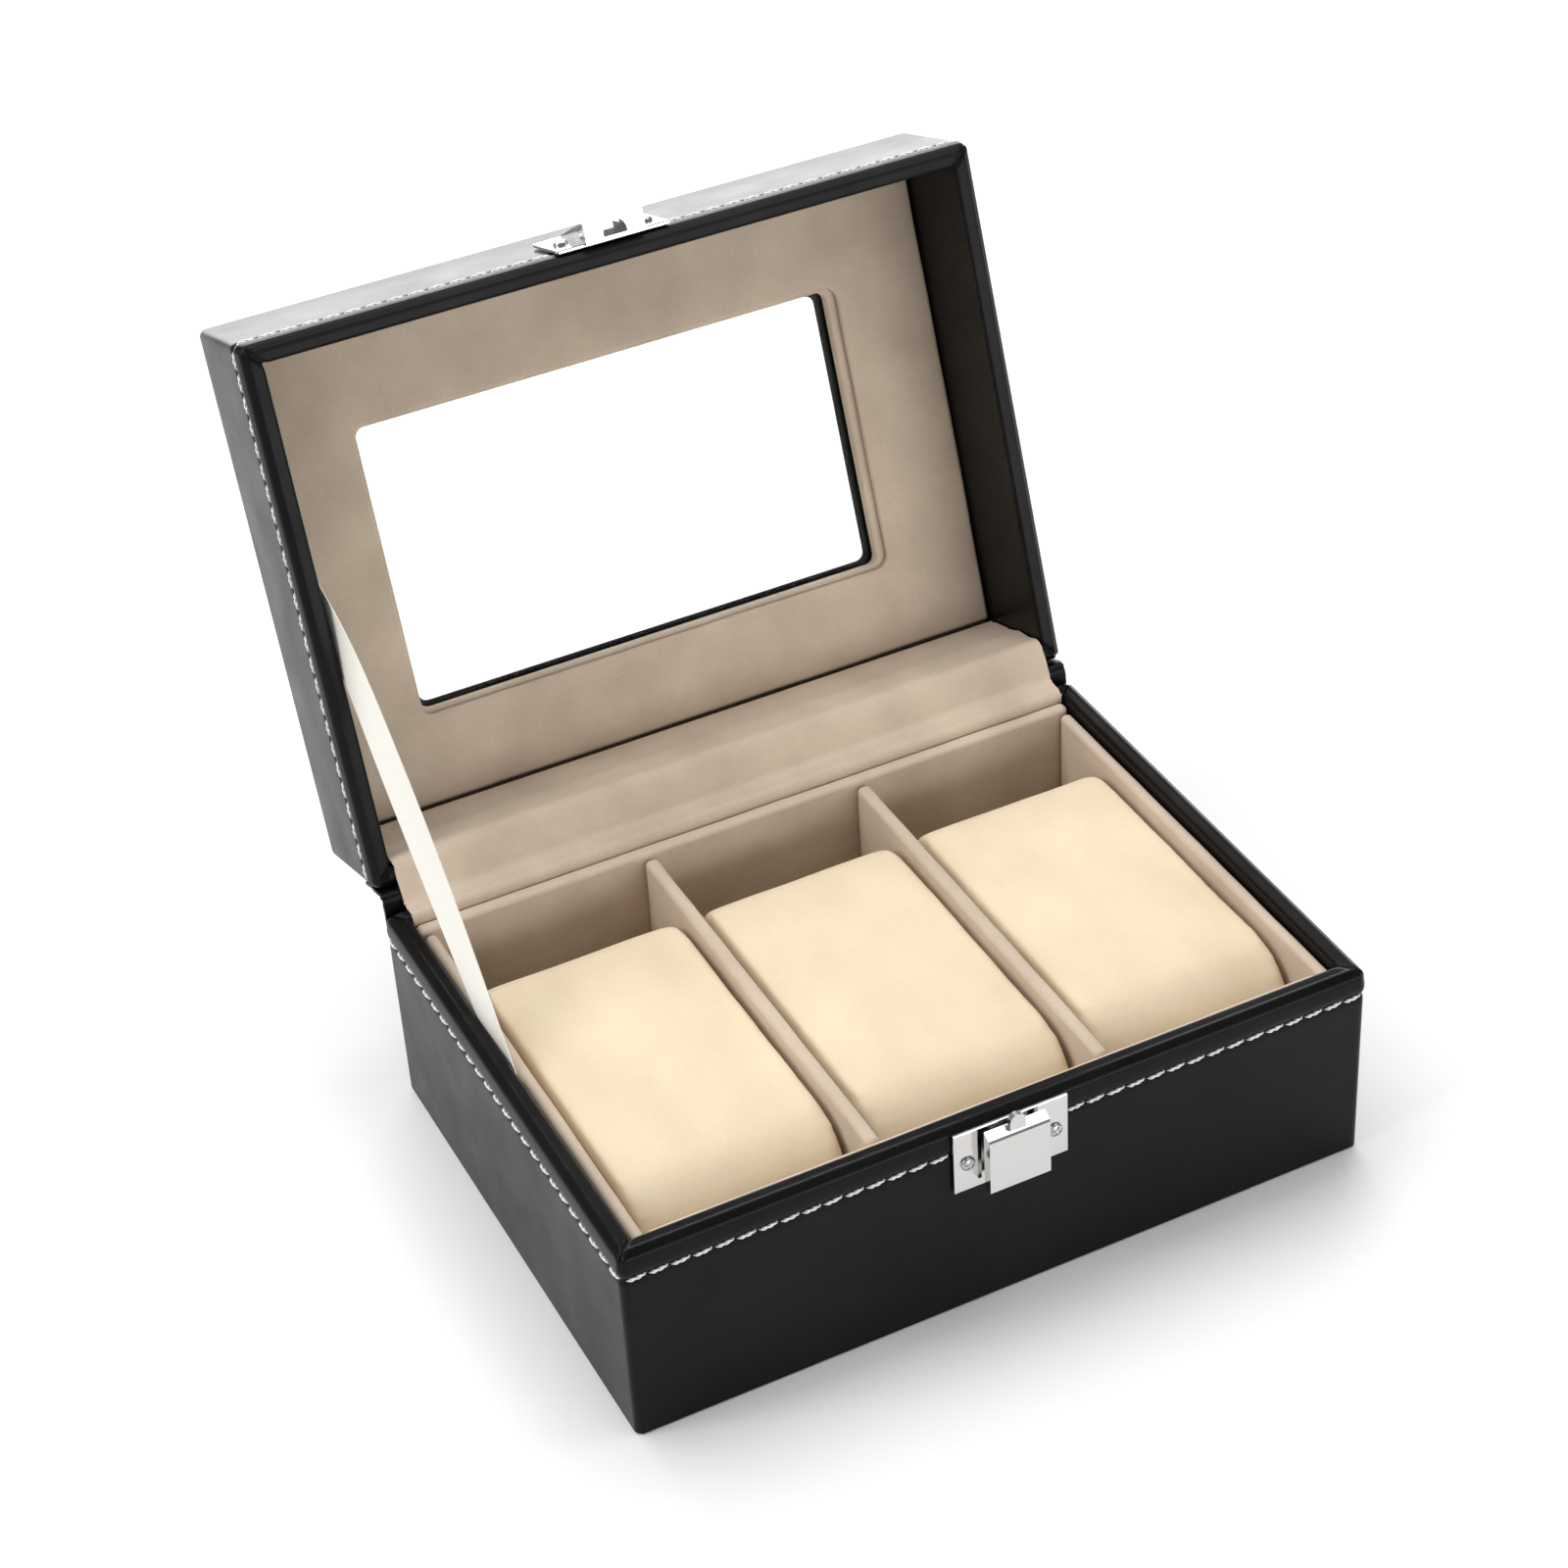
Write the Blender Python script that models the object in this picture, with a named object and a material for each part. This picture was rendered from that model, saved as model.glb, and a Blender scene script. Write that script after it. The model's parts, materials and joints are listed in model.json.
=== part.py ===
"""Watch box with a window in its lid, three lift-out pillows and a push-button clasp.

Metres, +Z up. The origin is the middle of the underside and the clasp is on the -Y side. Every piece of
the lid is drawn closed, about the hinge line, and hangs on an empty that is turned to the open position.
"""

import math

import bmesh
import bpy
from mathutils import Matrix, Vector

# Driving dimensions
WIDTH = 0.160
DEPTH = 0.114
BASE_HEIGHT = 0.046
LID_HEIGHT = 0.030
RIM_GAP = 0.0005  # between the two rims when the lid is closed
OPEN_ANGLE = math.radians(109)
CLEAR = 0.0003  # between pieces that touch

# Walls: leather outside, board, leather inside
LEATHER = 0.0008
BOARD = 0.0021
WALL = 2 * LEATHER + 2 * CLEAR + BOARD
SKIN = LEATHER + CLEAR
RIM_RADIUS = 0.0013
CORNER_RADIUS = 0.0018
FLOOR_BOARD = 0.0030
VELVET = 0.0008

# Hinge line, behind and above the back edge of the base
HINGE_Y = DEPTH / 2 + 0.0024
HINGE_Z = BASE_HEIGHT + 0.0010

# Compartments
LINER_TOP = BASE_HEIGHT - 0.0024
BACK_LINER_TOP = BASE_HEIGHT - 0.0016
LINER = 0.0026
BACK_LINER = 0.0030
RIBBON_SLOT = 0.0010  # between the left liner and the wall
FLOOR_TOP = SKIN + FLOOR_BOARD + CLEAR + 0.0010
COMPARTMENTS = 3
DIVIDER = 0.0030

# Pillows
PILLOW_WIDTH = 0.0448
PILLOW_FRONT = -0.0455
PILLOW_BACK = 0.0350
PILLOW_TOP = 0.0418
PILLOW_FRONT_RADIUS = 0.0140
PILLOW_BACK_RADIUS = 0.0080
PILLOW_FOOT_RADIUS = 0.0050
PILLOW_EDGE = 0.0012

# Window in the lid
LID_TOP = BASE_HEIGHT + RIM_GAP + LID_HEIGHT
LID_RIM = BASE_HEIGHT + RIM_GAP
LINING_Z = LID_TOP - 0.0065
WINDOW_CENTRE = (-0.00065, 0.0009)
WINDOW_SIZE = (0.1099, 0.0630)
WINDOW_RADIUS = 0.0030
GLASS_OPENING_CENTRE = (-0.00145, 0.0009)
GLASS_OPENING = (0.1049, 0.0596)
GLASS_OPENING_RADIUS = 0.0020
BEAD_INNER = 0.0009
BEAD_OUTER = 0.0008
LINING_EDGE = 0.0012
TOP_BOARD = 0.0020
GLASS = 0.0014

# Clasp
CLASP_WIDTH = 0.0246
CLASP_PLATE = 0.0008
CLASP_FACE = -DEPTH / 2 - CLEAR
CLASP_LOW = 0.0308
CLASP_HIGH = 0.0452
LATCH_LOW = LID_RIM + 0.0008
LATCH_HIGH = LID_RIM + 0.0155
NOSE_LOW = CLASP_HIGH + 0.0010
BUTTON_WIDTH = 0.0130
BUTTON_FRONT = -0.0616
SHEET = 0.0008
SCREW_OFFSET = 0.0094
SCREW_RADIUS = 0.0006
SCREW_HEAD = 0.0015

# Flexible webs along the hinge, and the ribbon
WEB = 0.0006
RIBBON_WIDTH = 0.0100
RIBBON = 0.0003

ARC_STEPS = 3


def clear_scene():
    for scene_object in list(bpy.data.objects):
        bpy.data.objects.remove(scene_object, do_unlink=True)


def make_material(name, colour, roughness, metallic=0.0, alpha=1.0):
    made = bpy.data.materials.new(name)
    made.use_nodes = True
    shader = made.node_tree.nodes["Principled BSDF"]
    shader.inputs["Base Color"].default_value = (*colour, 1.0)
    shader.inputs["Roughness"].default_value = roughness
    shader.inputs["Metallic"].default_value = metallic
    shader.inputs["Alpha"].default_value = alpha
    return made


LOOKS = {
    "leather": ((0.012, 0.012, 0.013), 0.35),
    "velvet": ((0.60, 0.47, 0.33), 0.95),
    "pillow_velvet": ((0.88, 0.76, 0.56), 0.95),
    "board": ((0.42, 0.30, 0.19), 0.80),
    "underside": ((0.02, 0.02, 0.02), 0.90),
    "chrome": ((0.85, 0.85, 0.86), 0.12, 1.0),
    "steel": ((0.45, 0.45, 0.46), 0.35, 1.0),
    "glass": ((0.95, 0.97, 0.97), 0.02, 0.0, 0.3),
    "satin": ((0.90, 0.88, 0.80), 0.40),
}


def add_object(name, mesh_data, look, parent=None):
    """Link a bmesh as an object that is drawn in its parent's own axes."""
    bmesh.ops.recalc_face_normals(mesh_data, faces=mesh_data.faces)
    mesh = bpy.data.meshes.new(name)
    mesh_data.to_mesh(mesh)
    mesh_data.free()
    mesh.materials.append(make_material(name, *LOOKS[look]))
    made = bpy.data.objects.new(name, mesh)
    bpy.context.scene.collection.objects.link(made)
    made.parent = parent
    return made


def add_empty(name, place, turn=0.0):
    made = bpy.data.objects.new(name, None)
    bpy.context.scene.collection.objects.link(made)
    made.location = place
    made.rotation_euler.x = turn
    return made


def shift(made, parent_place):
    """Move a mesh drawn in world axes into the axes of a parent at parent_place."""
    made.data.transform(Matrix.Translation(-Vector(parent_place)))
    return made


def round_off(made):
    made.data.shade_smooth()
    made.data.set_sharp_from_angle(angle=math.radians(35))


def box(low, high, bevel=0.0):
    """A box between two corners, with its edges rounded when bevel is given."""
    made = bmesh.new()
    bmesh.ops.create_cube(made, size=1.0)
    size = [b - a for a, b in zip(low, high)]
    middle = [(a + b) / 2 for a, b in zip(low, high)]
    bmesh.ops.scale(made, vec=size, verts=made.verts)
    bmesh.ops.translate(made, vec=middle, verts=made.verts)
    if bevel:
        bmesh.ops.bevel(made, geom=made.edges[:], offset=bevel, segments=2, profile=0.5, affect="EDGES")
    return made


def rectangle_outline(x_low, x_high, y_low, y_high, radius):
    """Points of a rectangle with round corners, anticlockwise."""
    corners = [
        (x_high - radius, y_high - radius, 0),
        (x_low + radius, y_high - radius, 90),
        (x_low + radius, y_low + radius, 180),
        (x_high - radius, y_low + radius, 270),
    ]
    points = []
    for centre_x, centre_y, start in corners:
        for step in range(ARC_STEPS + 1):
            angle = math.radians(start + 90 * step / ARC_STEPS)
            points.append((centre_x + radius * math.cos(angle), centre_y + radius * math.sin(angle)))
    return points


def wall_outline(inset):
    """The box's outline, moved inwards by inset."""
    half_x = WIDTH / 2 - inset
    half_y = DEPTH / 2 - inset
    return rectangle_outline(-half_x, half_x, -half_y, half_y, max(CORNER_RADIUS - inset, 0.0004))


def window_outline(margin):
    """The outline of the window in the lining, moved outwards by margin."""
    half_x = WINDOW_SIZE[0] / 2 + margin
    half_y = WINDOW_SIZE[1] / 2 + margin
    x, y = WINDOW_CENTRE
    return rectangle_outline(x - half_x, x + half_x, y - half_y, y + half_y, WINDOW_RADIUS + margin)


def glass_opening(margin):
    """The outline of the smaller opening in the outer leather, moved outwards by margin."""
    half_x = GLASS_OPENING[0] / 2 + margin
    half_y = GLASS_OPENING[1] / 2 + margin
    x, y = GLASS_OPENING_CENTRE
    return rectangle_outline(x - half_x, x + half_x, y - half_y, y + half_y, GLASS_OPENING_RADIUS + margin)


def closed_ring(levels):
    """A ring-shaped solid through outlines of equal point count, each with its height."""
    made = bmesh.new()
    loops = [[made.verts.new((x, y, height)) for x, y in outline] for outline, height in levels]
    count = len(loops[0])
    for loop, following in zip(loops, loops[1:] + loops[:1]):
        for index in range(count):
            beyond = (index + 1) % count
            made.faces.new((loop[index], loop[beyond], following[beyond], following[index]))
    return made


def loft(loops):
    """A solid through rings of points of equal count, with both ends closed."""
    made = bmesh.new()
    rings = [[made.verts.new(point) for point in loop] for loop in loops]
    count = len(rings[0])
    for ring, following in zip(rings, rings[1:]):
        for index in range(count):
            beyond = (index + 1) % count
            made.faces.new((ring[index], ring[beyond], following[beyond], following[index]))
    made.faces.new(rings[0][::-1])
    made.faces.new(rings[-1])
    return made


def slab(outline, low, high):
    """An (x, y) outline between two heights."""
    return loft([[(x, y, height) for x, y in outline] for height in (low, high)])


def plate_across(outline, near, far):
    """An (x, z) outline between two places along Y."""
    return loft([[(x, y, z) for x, z in outline] for y in (near, far)])


def prism(profile, x_low, x_high):
    """A (y, z) outline carried along X."""
    return loft([[(x, y, z) for y, z in profile] for x in (x_low, x_high)])


def strip_profile(path, thickness):
    """The (y, z) polygon of a sheet of even thickness that follows a path."""
    points = [Vector(point) for point in path]
    sides = []
    for index, point in enumerate(points):
        before = points[max(index - 1, 0)]
        after = points[min(index + 1, len(points) - 1)]
        along = (after - before).normalized()
        sides.append((point, Vector((-along.y, along.x)) * thickness / 2))
    upper = [tuple(point + across) for point, across in sides]
    lower = [tuple(point - across) for point, across in reversed(sides)]
    return upper + lower


def arc(centre, radius, start, stop, steps):
    """Points of an arc in a (y, z) plane, angles in degrees."""
    points = []
    for step in range(steps + 1):
        angle = math.radians(start + (stop - start) * step / steps)
        points.append((centre[0] + radius * math.cos(angle), centre[1] + radius * math.sin(angle)))
    return points


def rod(radius, y_low, y_high, x, z, sides=12):
    """A round bar along Y."""
    made = bmesh.new()
    bmesh.ops.create_cone(
        made, cap_ends=True, segments=sides, radius1=radius, radius2=radius, depth=y_high - y_low
    )
    bmesh.ops.rotate(made, cent=(0, 0, 0), matrix=Matrix.Rotation(math.pi / 2, 3, "X"), verts=made.verts)
    bmesh.ops.translate(made, vec=(x, (y_low + y_high) / 2, z), verts=made.verts)
    return made


def cut(target, mesh_data, operation="DIFFERENCE"):
    """Apply a Boolean with a helper solid drawn in the target's own axes."""
    bmesh.ops.recalc_face_normals(mesh_data, faces=mesh_data.faces)
    mesh = bpy.data.meshes.new("helper")
    mesh_data.to_mesh(mesh)
    mesh_data.free()
    helper = bpy.data.objects.new("helper", mesh)
    bpy.context.scene.collection.objects.link(helper)
    helper.parent = target.parent
    helper.hide_render = True
    helper.display_type = "WIRE"
    boolean = target.modifiers.new("helper", "BOOLEAN")
    boolean.object = helper
    boolean.operation = operation
    bpy.context.view_layer.update()
    evaluated = target.evaluated_get(bpy.context.evaluated_depsgraph_get())
    result = bpy.data.meshes.new_from_object(evaluated)
    result.name = target.name
    target.modifiers.clear()
    target.data = result
    bpy.data.objects.remove(helper, do_unlink=True)


def screw_holes(target, y_low, y_high, z, radius, lid=None):
    """Cut the two screw holes of a clasp part."""
    for side in (-1, 1):
        hole = rod(radius, y_low, y_high, side * SCREW_OFFSET, z)
        if lid:
            bmesh.ops.translate(hole, vec=(0, -HINGE_Y, -HINGE_Z), verts=hole.verts)
        cut(target, hole)


# Base


def base_leather():
    """One sheet: up the outside, over the rim and down the inside, behind the liners."""
    rim = BASE_HEIGHT
    inner_end = rim - 0.010
    levels = [(wall_outline(0.0), CLEAR), (wall_outline(0.0), rim - RIM_RADIUS)]
    for step in range(1, ARC_STEPS):
        angle = math.pi / 2 * step / ARC_STEPS
        inset = RIM_RADIUS * (1 - math.cos(angle))
        levels.append((wall_outline(inset), rim - RIM_RADIUS * (1 - math.sin(angle))))
    levels.append((wall_outline(RIM_RADIUS), rim))
    levels.append((wall_outline(WALL - RIM_RADIUS), rim))
    for step in range(1, ARC_STEPS):
        angle = math.pi / 2 * step / ARC_STEPS
        inset = WALL - RIM_RADIUS * (1 - math.sin(angle))
        levels.append((wall_outline(inset), rim - RIM_RADIUS * (1 - math.cos(angle))))
    levels.append((wall_outline(WALL), rim - RIM_RADIUS))
    levels.append((wall_outline(WALL), inner_end))
    levels.append((wall_outline(WALL - LEATHER), inner_end))
    levels.append((wall_outline(WALL - LEATHER), rim - LEATHER))
    levels.append((wall_outline(LEATHER), rim - LEATHER))
    levels.append((wall_outline(LEATHER), CLEAR))
    made = add_object("base_leather", closed_ring(levels), "leather")
    screw_holes(made, -DEPTH / 2 - 0.002, -DEPTH / 2 + WALL / 2, clasp_screw_height(), SCREW_RADIUS + CLEAR)
    round_off(made)


def clasp_screw_height():
    return (CLASP_LOW + CLASP_HIGH) / 2 - 0.0004


def wall_boards(prefix, low, high, parent, place):
    """Front, back, left and right boards between two heights, butted at the corners."""
    outer_x = WIDTH / 2 - SKIN
    outer_y = DEPTH / 2 - SKIN
    side_y = outer_y - BOARD - CLEAR
    boards = {
        "front_board": ((-outer_x, -outer_y, low), (outer_x, -outer_y + BOARD, high)),
        "back_board": ((-outer_x, outer_y - BOARD, low), (outer_x, outer_y, high)),
        "left_board": ((-outer_x, -side_y, low), (-outer_x + BOARD, side_y, high)),
        "right_board": ((outer_x - BOARD, -side_y, low), (outer_x, side_y, high)),
    }
    made = {}
    for name, (near, far) in boards.items():
        board = add_object(f"{prefix}_{name}", box(near, far, CLEAR), "board", parent)
        made[name] = shift(board, place)
    return made


def base_boards():
    boards = wall_boards("base", SKIN, BASE_HEIGHT - SKIN, None, (0, 0, 0))
    screw_holes(
        boards["front_board"],
        -DEPTH / 2 - 0.002,
        -DEPTH / 2 + WALL,
        clasp_screw_height(),
        SCREW_RADIUS + CLEAR,
    )
    half_x = WIDTH / 2 - SKIN - BOARD - CLEAR
    half_y = DEPTH / 2 - SKIN - BOARD - CLEAR
    floor = box((-half_x, -half_y, SKIN), (half_x, half_y, SKIN + FLOOR_BOARD))
    add_object("base_floor_board", floor, "board")


def base_underside():
    half_x = WIDTH / 2 - SKIN
    half_y = DEPTH / 2 - SKIN
    sheet = box((-half_x, -half_y, 0), (half_x, half_y, LEATHER), CLEAR)
    add_object("base_underside", sheet, "underside")


def inner_half_x():
    return WIDTH / 2 - WALL - CLEAR


def inner_half_y():
    return DEPTH / 2 - WALL - CLEAR


def left_liner_face():
    """X of the left liner's face that looks into the compartments."""
    return -inner_half_x() + RIBBON_SLOT - CLEAR + LINER


def compartment_edges():
    """(low x, high x) of each compartment."""
    low = left_liner_face()
    high = inner_half_x() - LINER
    width = (high - low - (COMPARTMENTS - 1) * DIVIDER) / COMPARTMENTS
    return [(low + i * (width + DIVIDER), low + i * (width + DIVIDER) + width) for i in range(COMPARTMENTS)]


def compartment_front():
    return -inner_half_y() + LINER


def compartment_back():
    return inner_half_y() - BACK_LINER


def liners():
    foot = SKIN + FLOOR_BOARD + CLEAR
    half_x = inner_half_x()
    half_y = inner_half_y()
    left = left_liner_face()
    right = half_x - LINER
    side_end = compartment_back() - CLEAR
    edge = 0.0009
    solids = {
        "liner_back": ((-half_x, half_y - BACK_LINER, foot), (half_x, half_y, BACK_LINER_TOP)),
        "liner_left": ((left - LINER, -half_y, foot), (left, side_end, LINER_TOP)),
        "liner_right": ((right, -half_y, foot), (half_x, side_end, LINER_TOP)),
        "liner_front": ((left + CLEAR, -half_y, foot), (right - CLEAR, compartment_front(), LINER_TOP)),
    }
    for name, (near, far) in solids.items():
        round_off(add_object(name, box(near, far, edge), "velvet"))
    floor_near = (left + CLEAR, compartment_front() + CLEAR, foot)
    floor_far = (right - CLEAR, side_end, FLOOR_TOP)
    add_object("floor_velvet", box(floor_near, floor_far), "velvet")


def dividers():
    edges = compartment_edges()
    for name, before, after in (("divider_left", 0, 1), ("divider_right", 1, 2)):
        near = (edges[before][1], compartment_front() + CLEAR, FLOOR_TOP + CLEAR)
        far = (edges[after][0], compartment_back() - CLEAR, LINER_TOP - 0.0004)
        round_off(add_object(name, box(near, far, 0.0011), "velvet"))


# Pillows


def pillow_profile(inset):
    """The (y, z) outline of a pillow, seen from its end."""
    front = PILLOW_FRONT + inset
    back = PILLOW_BACK - inset
    low = FLOOR_TOP + CLEAR + inset
    high = PILLOW_TOP - inset
    top_front = PILLOW_FRONT_RADIUS - inset
    top_back = PILLOW_BACK_RADIUS - inset
    foot = PILLOW_FOOT_RADIUS - inset
    return (
        arc((front + foot, low + foot), foot, 270, 180, 5)
        + arc((front + top_front, high - top_front), top_front, 180, 90, 9)
        + arc((back - top_back, high - top_back), top_back, 90, 0, 7)
        + arc((back - foot, low + foot), foot, 0, -90, 5)
    )


def pillow_solid():
    """A pillow about the middle of its width: flat ends with a soft edge."""
    half = PILLOW_WIDTH / 2
    edge = PILLOW_EDGE
    slices = [(-half, edge), (-half + 0.3 * edge, 0.3 * edge), (-half + edge, 0.0)]
    slices += [(-x, inset) for x, inset in reversed(slices)]
    return loft([[(x, y, z) for y, z in pillow_profile(inset)] for x, inset in slices])


def pillows():
    names = ("pillow_left", "pillow_middle", "pillow_right")
    for name, (low, high) in zip(names, compartment_edges()):
        place = ((low + high) / 2, 0, 0)
        lift = add_empty(f"{name}_lift", place)
        round_off(add_object(name, pillow_solid(), "pillow_velvet", lift))


# Lid


def lid_leather(hinge, place):
    """One sheet: down the inside, over the rim, up the outside, across the top and into the window."""
    board_face = LID_TOP - SKIN - TOP_BOARD
    inner_end = board_face - CLEAR
    window = glass_opening(0.0)
    levels = [(wall_outline(WALL), inner_end), (wall_outline(WALL), LID_RIM + RIM_RADIUS)]
    for step in range(1, ARC_STEPS):
        angle = math.pi / 2 * step / ARC_STEPS
        inset = WALL - RIM_RADIUS * (1 - math.cos(angle))
        levels.append((wall_outline(inset), LID_RIM + RIM_RADIUS * (1 - math.sin(angle))))
    levels.append((wall_outline(WALL - RIM_RADIUS), LID_RIM))
    levels.append((wall_outline(RIM_RADIUS), LID_RIM))
    for step in range(1, ARC_STEPS):
        angle = math.pi / 2 * step / ARC_STEPS
        inset = RIM_RADIUS * (1 - math.sin(angle))
        levels.append((wall_outline(inset), LID_RIM + RIM_RADIUS * (1 - math.cos(angle))))
    levels.append((wall_outline(0.0), LID_RIM + RIM_RADIUS))
    levels.append((wall_outline(0.0), LID_TOP - RIM_RADIUS))
    for step in range(1, ARC_STEPS):
        angle = math.pi / 2 * step / ARC_STEPS
        inset = RIM_RADIUS * (1 - math.cos(angle))
        levels.append((wall_outline(inset), LID_TOP - RIM_RADIUS * (1 - math.sin(angle))))
    levels.append((wall_outline(RIM_RADIUS), LID_TOP))
    levels.append((glass_opening(0.0006), LID_TOP))
    levels.append((window, LID_TOP - 0.0006))
    levels.append((window, LID_TOP - LEATHER))
    levels.append((wall_outline(LEATHER), LID_TOP - LEATHER))
    levels.append((wall_outline(LEATHER), LID_RIM + LEATHER))
    levels.append((wall_outline(WALL - LEATHER), LID_RIM + LEATHER))
    levels.append((wall_outline(WALL - LEATHER), inner_end))
    made = shift(add_object("lid_leather", closed_ring(levels), "leather", hinge), place)
    depth = -DEPTH / 2 + WALL / 2
    screw_holes(made, -DEPTH / 2 - 0.002, depth, latch_screw_height(), SCREW_RADIUS + CLEAR, hinge)
    round_off(made)


def latch_screw_height():
    return LATCH_LOW + 0.0062


def lid_boards(hinge, place):
    boards = wall_boards("lid", LID_RIM + SKIN, LID_TOP - SKIN, hinge, place)
    screw_holes(
        boards["front_board"],
        -DEPTH / 2 - 0.002,
        -DEPTH / 2 + WALL,
        latch_screw_height(),
        SCREW_RADIUS + CLEAR,
        hinge,
    )
    half_x = WIDTH / 2 - SKIN - BOARD - CLEAR
    half_y = DEPTH / 2 - SKIN - BOARD - CLEAR
    high = LID_TOP - SKIN
    low = high - TOP_BOARD
    outer = rectangle_outline(-half_x, half_x, -half_y, half_y, 0.0005)
    inner = window_outline(BEAD_OUTER + CLEAR)
    frame = closed_ring([(outer, low), (outer, high), (inner, high), (inner, low)])
    shift(add_object("lid_top_board", frame, "board", hinge), place)


def lid_window(hinge, place):
    """The lining frame, the velvet bead that lines the window's sides, and the pane behind the bead."""
    board_face = LID_TOP - SKIN - TOP_BOARD
    half_x = inner_half_x()
    front = -inner_half_y()
    back = inner_half_y() - VELVET - CLEAR
    outer = rectangle_outline(-half_x, half_x, front, back, 0.0006)
    soft_outer = rectangle_outline(-half_x + 0.0006, half_x - 0.0006, front + 0.0006, back - 0.0006, 0.0006)
    opening = window_outline(0.0)
    rebate = window_outline(BEAD_OUTER + CLEAR)
    edge_back = LINING_Z + LINING_EDGE
    lining_back = board_face - CLEAR
    lining = closed_ring(
        [
            (outer, lining_back),
            (outer, LINING_Z + 0.0006),
            (soft_outer, LINING_Z),
            (window_outline(0.0005), LINING_Z),
            (opening, LINING_Z + 0.0005),
            (opening, edge_back),
            (rebate, edge_back),
            (rebate, lining_back),
        ]
    )
    shift(add_object("lid_lining", lining, "velvet", hinge), place)
    glass_high = LID_TOP - LEATHER - CLEAR
    glass_low = glass_high - GLASS
    bead_low = edge_back + CLEAR
    bead_high = glass_low - CLEAR
    bead_outer = window_outline(BEAD_OUTER)
    bead_inner = window_outline(-BEAD_INNER)
    bead = closed_ring(
        [(bead_outer, bead_high), (bead_outer, bead_low), (bead_inner, bead_low), (bead_inner, bead_high)]
    )
    shift(add_object("window_bead", bead, "velvet", hinge), place)
    glass = slab(bead_outer, glass_low, glass_high)
    shift(add_object("window_glass", glass, "glass", hinge), place)


def lid_back_velvet(hinge, place):
    half_x = inner_half_x()
    face = inner_half_y() - VELVET
    panel = box((-half_x, face, LID_RIM + 0.0012), (half_x, face + VELVET, LINING_Z - CLEAR))
    shift(add_object("lid_back_velvet", panel, "velvet", hinge), place)


# Clasp


def screw_solid(x, face, z, depth):
    """A domed cross-head screw, its head against a face that looks along -Y."""
    head = 0.0007
    rings = [
        (SCREW_RADIUS, face + depth),
        (SCREW_RADIUS, face),
        (SCREW_HEAD, face),
        (SCREW_HEAD, face - 0.4 * head),
        (0.8 * SCREW_HEAD, face - 0.8 * head),
        (0.35 * SCREW_HEAD, face - head),
    ]
    sides = 12
    angles = [2 * math.pi * side / sides for side in range(sides)]
    return loft([[(x + r * math.cos(a), y, z + r * math.sin(a)) for a in angles] for r, y in rings])


def clasp_base():
    half = CLASP_WIDTH / 2
    plate = box((-half, CLASP_FACE - CLASP_PLATE, CLASP_LOW), (half, CLASP_FACE, CLASP_HIGH), 0.0002)
    made = add_object("clasp_base_plate", plate, "chrome")
    height = clasp_screw_height()
    screw_holes(made, CLASP_FACE - 0.002, CLASP_FACE + 0.002, height, SCREW_RADIUS + CLEAR)
    head_face = CLASP_FACE - CLASP_PLATE - CLEAR
    for side, name in ((-1, "left"), (1, "right")):
        screw = screw_solid(side * SCREW_OFFSET, head_face, height, WALL - 0.0004)
        round_off(add_object(f"clasp_base_screw_{name}", screw, "steel"))


def clasp_button():
    """A folded cover whose top slopes back to the plate, open behind and below, with the catch on top."""
    place = (0, BUTTON_FRONT, (CLASP_LOW + CLASP_HIGH) / 2)
    slide = add_empty("clasp_button_slide", place)
    half = BUTTON_WIDTH / 2
    front = BUTTON_FRONT
    back = CLASP_FACE - CLASP_PLATE - 0.0013
    low = CLASP_LOW + 0.0004
    top_front = CLASP_HIGH - 0.0012
    top_back = CLASP_HIGH - 0.0002
    outside = [
        (front, low),
        (front, top_front - 0.0004),
        (front + 0.0004, top_front),
        (back, top_back),
        (back, low),
    ]
    made = shift(add_object("clasp_button", prism(outside, -half, half), "chrome", slide), place)
    beyond = 0.0010
    rise = (top_back - top_front) * beyond / (back - front)
    inside = [
        (front + SHEET, low - beyond),
        (front + SHEET, top_front - SHEET),
        (back + beyond, top_back + rise - SHEET),
        (back + beyond, low - beyond),
    ]
    hollow = prism(inside, SHEET - half, half - SHEET)
    bmesh.ops.translate(hollow, vec=-Vector(place), verts=hollow.verts)
    cut(made, hollow)
    catch_half = 0.0017
    foot = CLASP_HIGH - 0.0015
    catch_top = NOSE_LOW + 0.0015
    outline = [(-catch_half, foot), (catch_half, foot)]
    outline += arc((0, catch_top - catch_half), catch_half, 0, 180, 8)
    catch = plate_across(outline, BUTTON_FRONT + 0.0007, BUTTON_FRONT + 0.0019)
    bmesh.ops.translate(catch, vec=-Vector(place), verts=catch.verts)
    cut(made, catch, "UNION")
    round_off(made)


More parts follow.
